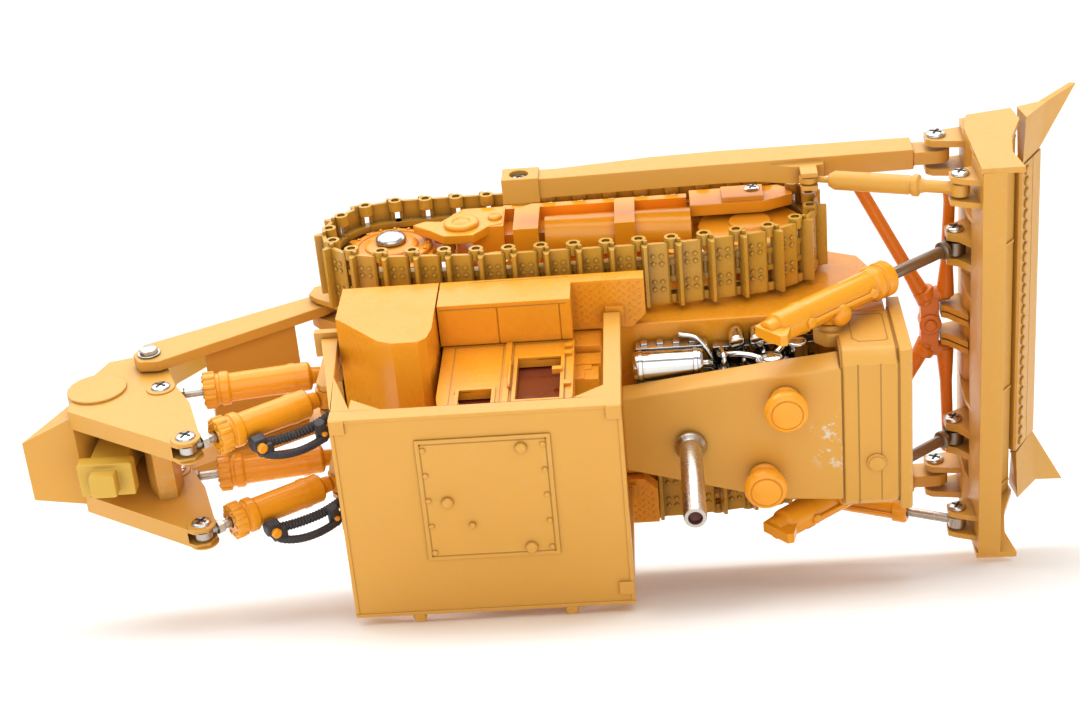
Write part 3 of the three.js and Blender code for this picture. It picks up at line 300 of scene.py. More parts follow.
# ---------- mesh building ----------
class Build:
    """Collects solids in layout millimetres and turns them into one piece."""

    def __init__(self):
        self.bm = bmesh.new()

    def skin(self, rings):
        """A solid through a list of rings of equally many points."""
        made = [[self.bm.verts.new(Vector(p)) for p in ring] for ring in rings]
        for one, two in zip(made, made[1:]):
            self.join(one, two)
        self.bm.faces.new(made[0][::-1])
        self.bm.faces.new(made[-1])

    def join(self, one, two):
        """A band of faces between two rings of vertices."""
        for i in range(len(one)):
            j = (i + 1) % len(one)
            self.bm.faces.new((one[i], one[j], two[j], two[i]))

    def prism(self, outline, near, far):
        """An outline in the side view (x, z), drawn across y."""
        self.skin([[(x, y, z) for x, z in outline] for y in (near, far)])

    def plan(self, outline, low, high):
        """An outline in the plan view (x, y), drawn up z."""
        self.skin([[(x, y, z) for x, y in outline] for z in (low, high)])

    def box(self, x, y, z):
        self.plan([(x[0], y[0]), (x[1], y[0]), (x[1], y[1]), (x[0], y[1])], *z)

    def lathe(self, profile, at, axis, segments=32, turn=0.0):
        """profile holds (radius, distance along axis) pairs from end to end."""
        way = Vector(axis).normalized()
        side = way.orthogonal().normalized()
        up = way.cross(side)
        rings = []
        for radius, reach in profile:
            centre = Vector(at) + way * reach
            ring = []
            for i in range(segments):
                angle = 2 * math.pi * i / segments + turn
                spoke = side * math.cos(angle) + up * math.sin(angle)
                ring.append(centre + spoke * max(radius, 0.01))
            rings.append(ring)
        self.skin(rings)

    def eye(self, centre, outer, inner, near, far, count=28):
        """A ring plate across y with a hole through it; centre is (x, z)."""
        turns = [2 * math.pi * k / count for k in range(count)]
        x, z = centre
        loops = [[self.bm.verts.new((x + r * math.cos(t), y, z + r * math.sin(t))) for t in turns]
                 for y in (near, far) for r in (outer, inner)]
        for one, two in ((0, 1), (0, 2), (1, 3), (2, 3)):
            self.join(loops[one], loops[two])

    def rod(self, start, end, radius, segments=20, chamfer=0.15):
        run = Vector(end) - Vector(start)
        length = run.length
        narrow = radius - chamfer
        profile = [(narrow, 0), (radius, chamfer), (radius, length - chamfer), (narrow, length)]
        self.lathe(profile, start, run, segments)

    def tube(self, points, radius, segments=12, steps=8, rib=0.0, pitch=0.0):
        """A round section along a smooth path; rib adds raised rings at the pitch."""
        path = smooth(points, steps)
        travelled = 0.0
        frames = []
        side = (path[1] - path[0]).orthogonal().normalized()
        for i, point in enumerate(path):
            ahead = path[min(i + 1, len(path) - 1)] - path[max(i - 1, 0)]
            way = ahead.normalized()
            side = (side - way * side.dot(way)).normalized()
            if i:
                travelled += (point - path[i - 1]).length
            swell = rib * (0.5 + 0.5 * math.cos(2 * math.pi * travelled / pitch)) if rib else 0.0
            frames.append((point, side.copy(), way.cross(side), radius - rib + swell))
        turns = [2 * math.pi * k / segments for k in range(segments)]
        self.skin([[point + (u * math.cos(t) + v * math.sin(t)) * r for t in turns]
                   for point, u, v, r in frames])

    def ribbon(self, points, normal, width, lift=0.03, closed=False):
        """A thin flat line laid on a face, as for an engraved seam."""
        n = Vector(normal).normalized()
        path = [Vector(p) + n * lift for p in points]
        if closed:
            path.append(path[0])
        for a, b in zip(path, path[1:]):
            way = (b - a).normalized()
            half = way.cross(n).normalized() * (width / 2)
            a2, b2 = a - way * (width / 2), b + way * (width / 2)
            face = [a2 - half, a2 + half, b2 + half, b2 - half]
            self.skin([[p - n * RIBBON_DEPTH for p in face], face])

    def bolt(self, at, axis, radius, height, sides=6):
        self.lathe([(radius, 0), (radius, height * 0.7), (radius * 0.72, height)], at, axis, sides)

    def done(self, name, body, look, slot, replaces=(), bevel=0.0, angle=EDGE_ANGLE):
        bmesh.ops.recalc_face_normals(self.bm, faces=self.bm.faces)
        mesh = bpy.data.meshes.new(name)
        self.bm.to_mesh(mesh)
        self.bm.free()
        mesh.transform(TO_FRAME)
        mesh.materials.append(look)
        piece = bpy.data.objects.new(name, mesh)
        bpy.context.scene.collection.objects.link(piece)
        dress(piece, bevel, angle)
        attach(piece, body)
        if replaces:
            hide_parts(*replaces)


def smooth(points, steps):
    """Catmull-Rom points through the given ones."""
    pts = [Vector(p) for p in points]
    pts = [2 * pts[0] - pts[1], *pts, 2 * pts[-1] - pts[-2]]
    path = []
    for a, b, c, d in zip(pts, pts[1:], pts[2:], pts[3:]):
        for i in range(steps):
            t = i / steps
            path.append(0.5 * (2 * b + (c - a) * t + (2 * a - 5 * b + 4 * c - d) * t * t
                               + (3 * b - a - 3 * c + d) * t ** 3))
    path.append(pts[-2])
    return path


def dress(obj, bevel, angle):
    """Rounds the edges of an object and shades it smoothly between them."""
    mesh = obj.data
    mesh.polygons.foreach_set("use_smooth", [True] * len(mesh.polygons))
    if not bevel:
        mesh.set_sharp_from_angle(angle=math.radians(angle))
        return
    soften = obj.modifiers.new("soften", "BEVEL")
    soften.width = bevel * MM
    soften.segments = 2
    soften.limit_method = "ANGLE"
    soften.angle_limit = math.radians(angle)
    soften.use_clamp_overlap = True
    obj.modifiers.new("even", "WEIGHTED_NORMAL")


def cad(name, look, bevel, angle=EDGE_ANGLE):
    """Gives a CAD node its material, with its edges softened by modifiers."""
    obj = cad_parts[name]
    obj.data.materials.clear()
    obj.data.materials.append(look)
    weld = obj.modifiers.new("weld", "WELD")
    weld.merge_threshold = 0.00002
    if "custom_normal" in obj.data.attributes:
        obj.data.attributes.remove(obj.data.attributes["custom_normal"])
    dress(obj, bevel, angle)


def across(side, near, far):
    """Two distances from the middle as a rising pair of y values on one side."""
    return (near, far) if side > 0 else (-far, -near)


def along(start, end, distance, y=0.0, lift=0.0):
    """A point on the line from start to end in the side view; lift is square to it."""
    run = Vector((end[0] - start[0], 0, end[1] - start[1]))
    way = run.normalized()
    square = Vector((way.z, 0, -way.x)) if way.x < 0 else Vector((-way.z, 0, way.x))
    return Vector((start[0], y, start[1])) + way * distance + square * lift


def span(start, end):
    return math.hypot(end[0] - start[0], end[1] - start[1])


# ---------- carried-over castings and mouldings ----------
for name in ("hull", "cab"):
    cad(name, YELLOW, 0.4)
cad("fuel_tank", YELLOW, 0.3, 24)
cad("radiator_housing", OCHRE, 0.4)
cad("hood", HOOD_OCHRE, 0.5)
cad("radiator_guard", OCHRE, 0.3)
cad("canopy", OCHRE, 0.4)
cad("ripper_bracket", OCHRE, 0.2)
cad("cab_glazing", GLAZING, 0.1)
cad("blade", OCHRE, 0.25)
cad("ripper_beam", OCHRE, 0.5)
cad("ripper_frame", OCHRE, 0.4)
cad("ripper_shank", SHANK, 0.4)
for name, side in SIDES:
    cad(f"{name}_fender", YELLOW, 0.35)
    cad(f"{name}_rear_foot", OCHRE, 0.2)
    cad(f"{name}_track_frame", BRIGHT, 0.4)
    cad(f"{name}_idler_yoke", BRIGHT, 0.5)
    cad(f"{name}_idler", BRIGHT, 0.4)
    cad(f"{name}_end_bit", OCHRE, 0.2)
    cad(f"{name}_push_arm", OCHRE, 0.4)


# ---------- tracks ----------
def belt_arc(centre, start, end, steps=24):
    """The chain's path round a wheel, from start to end in degrees."""
    turns = [math.radians(start + (end - start) * i / steps) for i in range(steps + 1)]
    return [(centre[0] + PIN_R * math.cos(t), centre[1] + PIN_R * math.sin(t)) for t in turns]


def belt_points():
    """Evenly spaced pin positions round the chain, and their pitch."""
    rests = [(x, CARRIER_Z) for x in CARRIER_X]
    line = belt_arc(SPROCKET, 270, 96) + rests + belt_arc(IDLER, 81, -90)
    loop = list(zip(line, line[1:] + line[:1]))
    lengths = [span(a, b) for a, b in loop]
    pitch = sum(lengths) / LINKS
    found = []
    for i in range(LINKS):
        left = i * pitch
        for (a, b), length in zip(loop, lengths):
            if left <= length:
                t = left / length
                found.append((a[0] + (b[0] - a[0]) * t, a[1] + (b[1] - a[1]) * t))
                break
            left -= length
    return found, pitch


def build_belt(name, side):
    """Separate shoes with grouser, bolt heads and outer knuckles, on two rows of chain links."""
    pins, pitch = belt_points()
    half = pitch / 2
    inner, outer = BELT_INNER, BELT_OUTER
    b = Build()
    for i, start in enumerate(pins):
        end = pins[(i + 1) % LINKS]
        way = Vector((end[0] - start[0], 0, end[1] - start[1])).normalized()
        out = Vector((-way.z, 0, way.x))
        middle = Vector(((start[0] + end[0]) / 2, 0, (start[1] + end[1]) / 2))

        def place(outline, near, far):
            lo, hi = across(side, near, far)
            b.skin([[middle + way * u + out * v + Vector((0, y, 0)) for u, v in outline]
                    for y in (lo, hi)])

        place([(-2.85, 0.95), (2.6, 0.95), (2.6, 1.45), (2.2, 1.75), (-1.45, 1.8), (-1.7, 3.3),
               (-2.35, 3.4), (-2.85, 1.9)], inner, outer - 0.7)
        place([(-2.95, 0.3), (-2.1, 0.3), (-2.1, 1.2), (-2.95, 1.2)], inner + 0.4, outer - 0.4)
        place([(1.9, 0.4), (2.6, 0.4), (2.6, 1.2), (1.9, 1.2)], inner + 0.4, outer - 0.4)
        for near, far in ((22.8, 24.1), (26.5, 27.8)):
            place([(-half - 0.9, -0.9), (-half + 0.4, -1.2), (0, -0.85), (half - 0.9, -1.2),
                   (half + 0.3, -0.8), (half + 0.3, 0.7), (half - 0.9, 1.1), (-half + 0.5, 1.1),
                   (-half - 0.9, 0.8)], near + (0.1 if i % 2 else 0), far - (0 if i % 2 else 0.1))
        for near, far in ((inner + 0.05, 20.2), (30.1, outer)):
            lo, hi = across(side, near, far)
            centre = middle - way * half
            b.eye((centre.x, centre.z), 1.45, 0.85, lo, hi, 14)
            place([(-half + 0.9, 0.7), (-half + 0.9, 1.5), (-1.6, 1.6), (-1.6, 0.9)], near, far)
        for y in (21.7, 23.3, 27.3, 28.9):
            for u in (-0.55, 1.1):
                foot = middle + way * u + out * 1.7 + Vector((0, side * y, 0))
                b.lathe([(0.56, 0), (0.56, 0.3), (0.36, 0.42)], foot, out, 4, math.pi / 4)
        foot = middle - way * half
        for near, far, radius in ((23.2, 27.4, 0.85), (30.2, 31.9, 0.6)):
            lo, hi = across(side, near, far)
            b.lathe([(radius, 0), (radius, hi - lo)], foot + Vector((0, lo, 0)), LEFT, 12)
    b.done(f"{name}_track_links", "machine", TRACK, "track_plastic",
           [f"{name}_track_belt"], angle=30)


def build_sprocket(name, side):
    """A toothed wheel with a stepped hub, a ring of bolts and a domed rivet."""
    b = Build()
    tooth = ((-11, 9.1), (-6, 9.7), (-3.6, 10.75), (0, 10.8), (3.6, 10.75), (6, 9.7), (11, 9.1))
    outline = []
    for i in range(TEETH):
        for offset, radius in tooth:
            turn = math.radians(360 * i / TEETH + offset)
            outline.append((SPROCKET[0] + radius * math.cos(turn),
                            SPROCKET[1] + radius * math.sin(turn)))
    b.prism(outline, *across(side, 24, 26.8))
    centre = Vector((SPROCKET[0], side * 26.7, SPROCKET[1]))
    b.lathe([(8.4, 0), (8.4, 0.8), (8.0, 1.1), (7.1, 1.15), (6.9, 0.7), (5.6, 0.7), (5.4, 1.2),
             (4.1, 1.65), (0.1, 1.7)], centre, (0, side, 0), 48)
    b.lathe([(6.2, 0), (6.2, 3.2)], centre - Vector((0, side * 5.7, 0)), (0, side, 0), 32)
    for i in range(16):
        turn = 2 * math.pi * i / 16
        at = centre + Vector((7.75 * math.cos(turn), side * 0.9, 7.75 * math.sin(turn)))
        b.bolt(at, (0, side, 0), 0.42, 0.55)
    b.done(f"{name}_sprocket_wheel", f"{name}_drive", WHEEL, "orange_plastic",
           [f"{name}_sprocket"], 0.12)
    r = Build()
    r.lathe([(3.2, 0.1), (3.22, 0.45), (3.0, 0.85), (2.5, 1.25), (1.7, 1.6), (0.8, 1.85),
             (0.05, 1.93)],
            (SPROCKET[0], side * 28.65, SPROCKET[1]), (0, side, 0), 40)
    r.done(f"{name}_rivet_head", f"{name}_drive", SCREW, "bare_steel", [f"{name}_sprocket_rivet"])


for name, side in SIDES:
    build_belt(name, side)
    build_sprocket(name, side)


# guards of the final drives
for name, side in SIDES:
    b = Build()
    b.prism([(-36.5, 13.6), (-34, 12), (-30.6, 12.6), (-28.4, 9.4), (-22, 8.6), (-17.7, 9.2),
             (-17.7, 15.6), (-20.6, 16.6), (-23.4, 20.4), (-29.6, 20.2), (-32.6, 17)],
            *across(side, 28.75, 30.75))
    b.lathe([(3.7, 0), (3.7, 0.8), (3.3, 1.2), (1.9, 1.25), (1.6, 0.9), (0.05, 0.9)],
            (-26.2, side * 30.5, 15), (0, side, 0), 36)
    b.lathe([(1.5, 0), (1.5, 0.5), (1.1, 0.8), (0.05, 0.8)], (-19.4, side * 30.6, 12.6),
            (0, side, 0), 20)
    b.done(f"{name}_drive_guard", "machine", BRIGHT, "yellow_plastic", (), 0.35)


# ---------- screws ----------
def screw(name, body, pin, y, radius, height):
    """A pan-head screw with a cross recess on a pin (x, z), facing the machine's left."""
    at = Vector((pin[0], y, pin[1]))
    b = Build()
    b.lathe([(radius, 0), (radius, height * 0.45), (radius * 0.9, height * 0.75),
             (radius * 0.55, height), (0.05, height * 1.05)], at, LEFT, 32)
    b.done(f"{name}_screw_head", body, SCREW, "bare_steel")
    # Painted shade: the cross recess is a dark cross set into the head.
    c = Build()
    arm = radius * 0.62
    thin = radius * 0.13
    for tilt in (0.5, 0.5 + math.pi / 2):
        u = Vector((math.cos(tilt), 0, math.sin(tilt))) * arm
        v = Vector((-math.sin(tilt), 0, math.cos(tilt))) * thin
        c.skin([[at + Vector((0, depth, 0)) + p for p in (u + v, v - u, -u - v, u - v)]
                for depth in (height * 0.5, height * 1.1)])
    c.done(f"{name}_screw_recess_shade", body, SLOT_SHADE, "bare_steel")


# ---------- lift cylinders ----------
def lift_point(side, distance, lift=0.0):
    return along(LIFT_PIVOT, LIFT_EYE, distance, side * LIFT_CYL_Y, lift)


for name, side in SIDES:
    way = lift_point(side, 1) - lift_point(side, 0)
    b = Build()
    b.lathe([(1.2, -17), (2.2, -16.6), (2.3, -14.6), (2.95, -14.2), (3.05, -13.6),
             (3.05, -9.2), (3.2, -9), (3.2, -7.6), (3.05, -7.4), (3.05, 10.6), (3.3, 10.9),
             (3.6, 11.4), (3.6, 12.4), (3.25, 12.7), (3.25, 13.2), (3.65, 13.4), (3.65, 15.5),
             (3.3, 15.95), (1.62, 15.95), (1.6, 4), (0.1, 3.9)],
            lift_point(side, 0), way, 40)
    fin = ((-17.6, -2.2), (-17.4, 4.6), (-16.2, 5.2), (-12.4, 2.4), (-9.5, 2.0), (-9.5, -1.2),
           (-14, -2.6))
    corners = [lift_point(side, *spot) for spot in fin]
    b.prism([(p.x, p.z) for p in corners], *across(side, 20.9, 23.1))
    b.lathe([(2.3, 0), (2.5, 0.3), (2.5, 2.2)], (LIFT_PIVOT[0], side * 18.45, LIFT_PIVOT[1]),
            (0, side, 0), 28)
    foot = lift_point(side, 0.5, 1.4) - Vector((0, side * 1.6, 0))
    b.lathe([(2.3, 0), (2.3, 1.7), (2.0, 2.3), (1.3, 2.7), (0.05, 2.85)], foot,
            lift_point(side, 0, 1) - lift_point(side, 0), 32)
    for reach in (9, -8):
        port = lift_point(side, reach, 2.7)
        b.lathe([(1.1, 0), (1.1, 0.9), (0.8, 1.1)], port, lift_point(side, reach, 4) - port, 6)
    b.rod(lift_point(side, -8, 3.3), lift_point(side, 10, 3.3), 0.45, 10)
    b.done(f"{name}_lift_cylinder", f"{name}_lift_barrel_body", BRIGHT, "yellow_plastic",
           [f"{name}_lift_barrel"], 0.12)
    r = Build()
    length = span(LIFT_PIVOT, LIFT_EYE)
    r.rod(lift_point(side, 3), lift_point(side, length - 2.0), 1.22, 28)
    r.lathe([(1.5, 0), (1.9, 0.3), (1.9, 1.2), (1.2, 1.6)], lift_point(side, length - 4.2), way, 24)
    r.eye(LIFT_EYE, 2.3, 1.5, *across(side, 20.6, 23.4))
    r.done(f"{name}_lift_piston", f"{name}_lift_rod_body", DULL_STEEL, "bare_steel",
           [f"{name}_lift_rod"])
    left = side > 0
    screw(f"{name}_lift_eye", "blade_frame", LIFT_EYE, 25.5 if left else -18.5, 1.8, 0.9)
    screw(f"{name}_arm_pin", "blade_frame", ARM_PIN, 42.0 if left else -34.4, 2.0, 0.9)
    screw(f"{name}_brace_pin", "blade_frame", BRACE_PIN, 41.2 if left else -35.2, 1.8, 0.8)
    if left:
        screw("left_trunnion", "blade_frame", TRUNNION, 39.5, 1.85, 0.7)
        screw("left_yoke", "machine", (34, 8.6), 31.75, 1.6, 0.6)
        screw("left_ripper_root", "machine", (-57, 11.5), 14.95, 1.9, 0.9)


# ---------- blade brace and tilt cylinder ----------
def brace_points(side):
    return (Vector((BRACE_REAR[0], side * BRACE_REAR_Y, BRACE_REAR[1])),
            Vector((BRACE_PIN[0], side * BRACE_PIN_Y, BRACE_PIN[1])))


def rear_eye(b, at):
    b.lathe([(1.7, 0), (1.9, 0.15), (1.9, 1.25), (1.7, 1.4)], at - Vector((0, 0.7, 0)), LEFT, 24)


def front_eye(b, at):
    b.lathe([(1.7, 0), (1.9, 0.2), (1.9, 2.6), (1.7, 2.8)], at - Vector((0, 1.4, 0)), LEFT, 24)


rear, front = brace_points(1)
b = Build()
run = front - rear
total = run.length
b.lathe([(0.65, 1.2), (0.65, 4.2), (1.3, 4.4), (1.55, 4.9), (1.95, 5.6), (1.95, 20.5), (1.8, 21.2),
         (2.2, 21.5), (2.2, 22.6), (1.5, 23.0), (1.25, 24), (1.25, total - 1.2)], rear, run, 28)
rear_eye(b, rear)
front_eye(b, front)
b.done("left_brace_strut", "blade_frame", OCHRE, "yellow_plastic", ["left_brace"], 0.1)

rear, front = brace_points(-1)
run = front - rear
b = Build()
b.lathe([(0.65, 1.2), (0.65, 4.2), (1.6, 4.5), (2.1, 5), (2.1, total * 0.55), (2.55, total * 0.56),
         (2.55, total * 0.64), (2.2, total * 0.655), (1.32, total * 0.655), (1.3, total * 0.4),
         (0.1, total * 0.39)],
        rear, run, 28)
rear_eye(b, rear)
pipe = Vector((-1.1, 0, 2.2))
b.rod(rear + run * 0.2 + pipe, rear + run * 0.58 + pipe, 0.4, 10)
b.done("right_tilt_cylinder", "blade_frame", BRIGHT, "yellow_plastic", ["right_tilt_barrel"], 0.1)
b = Build()
b.rod(rear + run * 0.42, rear + run * 0.955, 1.0, 24)
front_eye(b, front)
b.done("right_tilt_piston", "blade_frame", STEEL, "bare_steel", ["right_tilt_rod"])

# ---------- centre link ----------
b = Build()
for side in (1, -1):
    b.lathe([(1.9, 0), (1.7, 3), (1.3, 8), (1.2, 22), (1.5, 24.4)], (73.4, side * 6.2, 11.6),
            (0.6, side * 24.4, 1.8), 20)
    b.lathe([(2.0, 0), (1.75, 3), (1.4, 10), (1.35, 30), (1.65, 34.5)], (69.6, side * 4.6, 11.4),
            (-15.6, side * 30.8, 0.4), 20)
    b.lathe([(1.7, 0), (1.7, 4.4)], (70, side * 6.2, 11.5), (4.2, side * 0.6, 0.1), 20)
    b.lathe([(2.1, -0.4), (2.3, 0), (2.3, 1.4), (2.1, 1.8)], (69.4, side * 6.0, 11.5),
            (-0.45, side * 0.9, 0), 20)
b.plan([(68.2, -5.6), (69.4, -6.9), (72, -6.9), (72, 6.9), (69.4, 6.9), (68.2, 5.6)], 9.9, 13.1)
b.lathe([(2.2, 0), (2.35, 0.3), (2.35, 3.9), (2.2, 4.2)], (70.2, 0, 9.4), UP, 28)
b.lathe([(1.3, 0), (1.3, 0.5), (0.8, 0.7)], (70.2, 0, 13.6), UP, 20)
b.done("centre_link_casting", "blade_frame", ORANGE, "orange_plastic", ["centre_link"], 0.25)

# ---------- cutting edge ----------
b = Build()
b.prism([(88.05, 10.2), (88.5, 10.65), (89.1, 10.7), (94.4, 1.9), (94.2, 1.3), (93.3, 1.2),
         (86, 6.9)], -33.6, 33.6)
slope = Vector((94.4 - 89.1, 0, 1.9 - 10.7)).normalized()
face = Vector((-slope.z, 0, slope.x))
shade_rims = []
for i in range(27):
    y = -32 + 64 * i / 26
    foot = Vector((90.35, y, 8.65))
    ring = []
    for k in range(14):
        turn = 2 * math.pi * k / 14
        ring.append(slope * (1.0 * math.cos(turn)) + Vector((0, 0.92 * math.sin(turn), 0)))
    b.skin([[foot + r for r in ring], [foot + r + face * 0.32 for r in ring],
            [foot + r * 0.8 + face * 0.5 for r in ring]])
    shade_rims.append([foot + r * 1.18 + face * 0.05 for r in ring])
b.ribbon([(92.2, -33.4, 5.55), (92.2, 33.4, 5.55)], face, 0.3, 0.08)
b.done("cutting_edge_plate", "blade_frame", OCHRE, "ochre_paint", ["cutting_edge"], 0.12)
# Painted shade: dark rings round the bolt heads.
b = Build()
for rim in shade_rims:
    b.skin([[p - face * 0.2 for p in rim], rim])
b.done("cutting_edge_bolt_shade_rims", "blade_frame", SEAM_SHADE, "ochre_paint")

# ---------- blade trim ----------
b = Build()
b.plan([(77.2, -43.4), (81.8, -43.4), (81.8, 43.4), (77.2, 43.4)], 35.2, 35.85)
front_line = [(81.55, 35), (80.75, 31), (80.55, 26), (81.5, 20.6), (84.1, 15.1), (87.4, 10.8)]
rib = [(x + 0.32, z) for x, z in front_line] + [(x - 0.6, z) for x, z in front_line[::-1]]
for side in (1, -1):
    b.prism([(77.6, 20), (78.6, 20), (79.4, 31), (78.4, 33.5), (77.6, 33.5)],
            *across(side, 40.4, 41.4))
    for y in (40.2, 16.9):
        b.prism(rib, *across(side, y, y + 0.7))
b.done("blade_trim", "blade_frame", OCHRE, "ochre_paint", (), 0.12)

# ---------- exhaust, air cleaners, silencer ----------
b = Build()
b.lathe([(3.1, 0.05), (3.15, 0.5), (2.9, 0.95), (2.4, 1.3), (2.2, 1.9), (2.2, 26.3), (2.05, 26.75),
         (1.4, 26.75), (1.32, 26.4), (1.3, 15), (0.1, 14.8)], (18.1, -1.5, 55.45), UP, 40)
b.done("exhaust_tube", "machine", STEEL, "bare_steel", ["exhaust_pipe"])
b = Build()
b.lathe([(1.28, 9), (1.28, 11), (0.3, 10.4)], (18.1, -1.5, 70), UP, 24)
b.done("exhaust_inside", "machine", PIPE_RED, "bare_steel")
for name, x, y, z in (("left", 36.6, 8.6, 57.7), ("right", 32.1, -8.2, 57.6)):
    b = Build()
    b.lathe([(3.0, 0.05), (3.0, 0.5), (2.6, 0.9), (2.55, 3.0), (3.2, 3.2), (3.9, 3.45), (4.2, 3.95),
             (4.22, 4.7), (4.05, 5.3), (3.7, 5.75), (3.15, 6.0), (3.05, 5.88), (2.9, 5.9),
             (2.8, 6.25), (2.2, 6.6), (1.2, 6.78), (0.05, 6.8)], (x, y, z), UP, 48)
    b.done(f"precleaner_cap_{name}", "machine", BRIGHT, "yellow_plastic", [f"precleaner_{name}"])

b = Build()
b.lathe([(0.1, 0), (2.3, 0.1), (3.0, 0.5), (3.2, 1.1), (3.2, 1.4), (3.4, 1.5), (3.4, 2.2),
         (3.2, 2.3), (3.2, 12.2), (3.4, 12.3), (3.4, 13.0), (3.2, 13.1), (3.2, 13.6), (2.9, 14.1),
         (0.1, 14.35)],
        (7.4, 10.9, 45.2), (1, 0, 0), 40)
for x in (9.8, 18.8):
    b.box((x, x + 0.9), (9.6, 12.2), (42, 43.4))
b.tube([(21.4, 10.9, 45.2), (22.6, 10.7, 45), (23.4, 10, 44.4), (23.6, 9, 43.8)], 0.9, 14)
b.done("silencer_can", "machine", CHROME, "chrome_plating", ["silencer"])

# ---------- engine ----------
b = Build()
b.box((8, 44), (-7.5, 7.6), (39, 46.4))
b.box((24, 43), (-7, 7.2), (46.2, 49.4))
b.box((25, 42.4), (-5.4, 5.4), (49.2, 51.3))
b.box((23.6, 44.2), (7, 12.6), (39, 41.6))
for i in range(5):
    x = 24.4 + i * 3.9
    b.box((x, x + 2.7), (7.2, 9.6), (43.2, 49.2))
    b.box((x + 0.5, x + 2.2), (9.3, 10.4), (44.4, 48.4))
    b.bolt((x + 1.35, 8.2, 49.1), UP, 0.55, 0.7)
    b.tube([(x + 1.35, 10.2, 45.6), (x + 1.35, 11.6, 45), (x + 1.2, 12.2, 43.6),
            (x + 0.9, 12.0, 41.4)], 0.62, 10)
for x in (9.4, 12.6, 15.8, 19):
    b.box((x, x + 1.4), (7.4, 14.0), (39.0, 41.2))
    b.bolt((x + 0.7, 13, 41.1), UP, 0.55, 0.6)
b.box((8.4, 22.6), (12.6, 13.6), (39, 42.4))
b.lathe([(3.1, 0), (3.3, 0.2), (3.3, 1.1), (2.8, 1.3), (2.2, 1.2), (2.0, 1.7), (1.2, 1.9),
         (0.1, 2.0)],
        (35, 11.2, 47.4), LEFT, 36)
b.lathe([(1.9, 0), (2.0, 0.3), (2.0, 3.4), (1.7, 3.8)], (40.2, 10.6, 44.4), LEFT, 28)
for x in (28.4, 32.4):
    b.lathe([(1.5, 0), (1.6, 0.3), (1.6, 4.4), (1.3, 4.8), (0.1, 4.9)], (x, 14.4, 39.2), UP, 24)
b.tube([(24.6, 11.6, 43.2), (27.4, 12.6, 45), (30.4, 12.6, 45.8), (33, 12, 46.6)], 0.6, 12)
b.tube([(36, 12.8, 46.2), (38.6, 13.9, 43), (41, 13.8, 41), (43.4, 12.8, 40.2)], 0.75, 12)
b.tube([(24, 9.5, 43.4), (22.6, 12.4, 42.6), (20.4, 14.6, 41), (17, 15.2, 40.2)], 0.5, 10)
for i in range(8):
    b.bolt((25.2 + i * 2.4, 6.4, 49.3), UP, 0.4, 0.5)
for x in (36.6, 39.8, 43):
    b.bolt((x, 14.6, 39.2), UP, 0.9, 1.5)
b.done("engine_castings", "machine", CHROME, "chrome_plating", ["engine"], 0.14)

# ---------- roof hatch ----------
b = Build()
b.plan([(-32.4, -9.4), (-7.4, -9.4), (-7.4, 16.6), (-32.4, 16.6)], TOP + 0.06, TOP + 0.4)
for x in (-31.0, -8.9):
    for y in (14.6, 9.2, 3.8, -1.8, -7.6):
        b.lathe([(0.55, 0), (0.55, 0.25), (0.35, 0.42), (0.05, 0.48)], (x, y, TOP + 0.38), UP, 14)
for x, y, r in ((-12.9, 14.1, 1.1), (-27.5, 3.3, 1.1), (-12.7, -7.4, 1.15), (-23.3, -1.8, 0.6)):
    b.lathe([(r, 0), (r, 0.5), (r * 0.8, 0.8), (r * 0.3, 0.95), (0.05, 0.97)],
            (x, y, TOP + 0.38), UP, 20)
b.done("roof_hatch_cover", "machine", OCHRE, "ochre_paint", ["roof_hatch"], 0.12)
# Painted shade: the hatch's groove drawn as a dark line.
b = Build()
b.ribbon([(-31.5, -8.5, TOP + 0.4), (-8.3, -8.5, TOP + 0.4), (-8.3, 15.7, TOP + 0.4),
          (-31.5, 15.7, TOP + 0.4)],
         UP, 0.28, 0.02, True)
b.done("roof_hatch_groove_shade", "machine", SEAM_SHADE, "ochre_paint")
b = Build()
for x0, x1, y0, y1 in ((-47.7, 5.9, 20.9, 21.7), (-47.7, 5.9, -21.7, -20.9),
                       (-47.7, -46.9, -20.86, 20.86), (5.1, 5.9, -20.86, 20.86)):
    b.box((x0 + 0.02, x1 - 0.02), (y0 + 0.02, y1 - 0.02), (TOP - 0.4, TOP + 0.22))
for x, y in ((4.2, 20.2), (4.2, -17.9), (-46.4, 20.2)):
    b.box((x - 1.2, x + 1.6), (y - 1.4, y + 1.4), (TOP - 0.4, TOP + 0.5))
for x in (-35.5, -6.3):
    b.lathe([(1.2, 0), (1.3, 0.3), (1.3, 1.5), (1.0, 1.9)], (x, -22.3, 77.3), UP, 20)
b.done("roof_rim", "machine", OCHRE, "ochre_paint", (), 0.15)

# ---------- hood and housing details ----------
# Painted shade: dark lines laid along the seams here.
b = Build()
b.ribbon([(50.6, -16.9, 55.6), (50.6, -15, 57.5)], (0, -0.7, 0.7), 0.3)
b.ribbon([(50.6, -15, 57.5), (50.6, 15, 57.5)], UP, 0.3)
b.ribbon([(54.9, -15, 57.5), (54.9, 15, 57.5)], UP, 0.22)
for side in (1, -1):
    y = side * 17.3
    b.ribbon([(50.2, y, 40.6), (56.4, y, 40.6), (56.9, y, 41.2), (56.9, y, 51.4), (56.4, y, 52),
              (51.4, y, 52), (50.2, y, 50.6)], (0, side, 0), 0.25, 0.03, True)
    b.ribbon([(-23.3, side * 28.1, 37.6), (-4, side * 28.1, 37.6)], (0, side, 0), 0.2)
b.done("housing_seam_shade", "machine", SEAM_SHADE, "yellow_plastic")
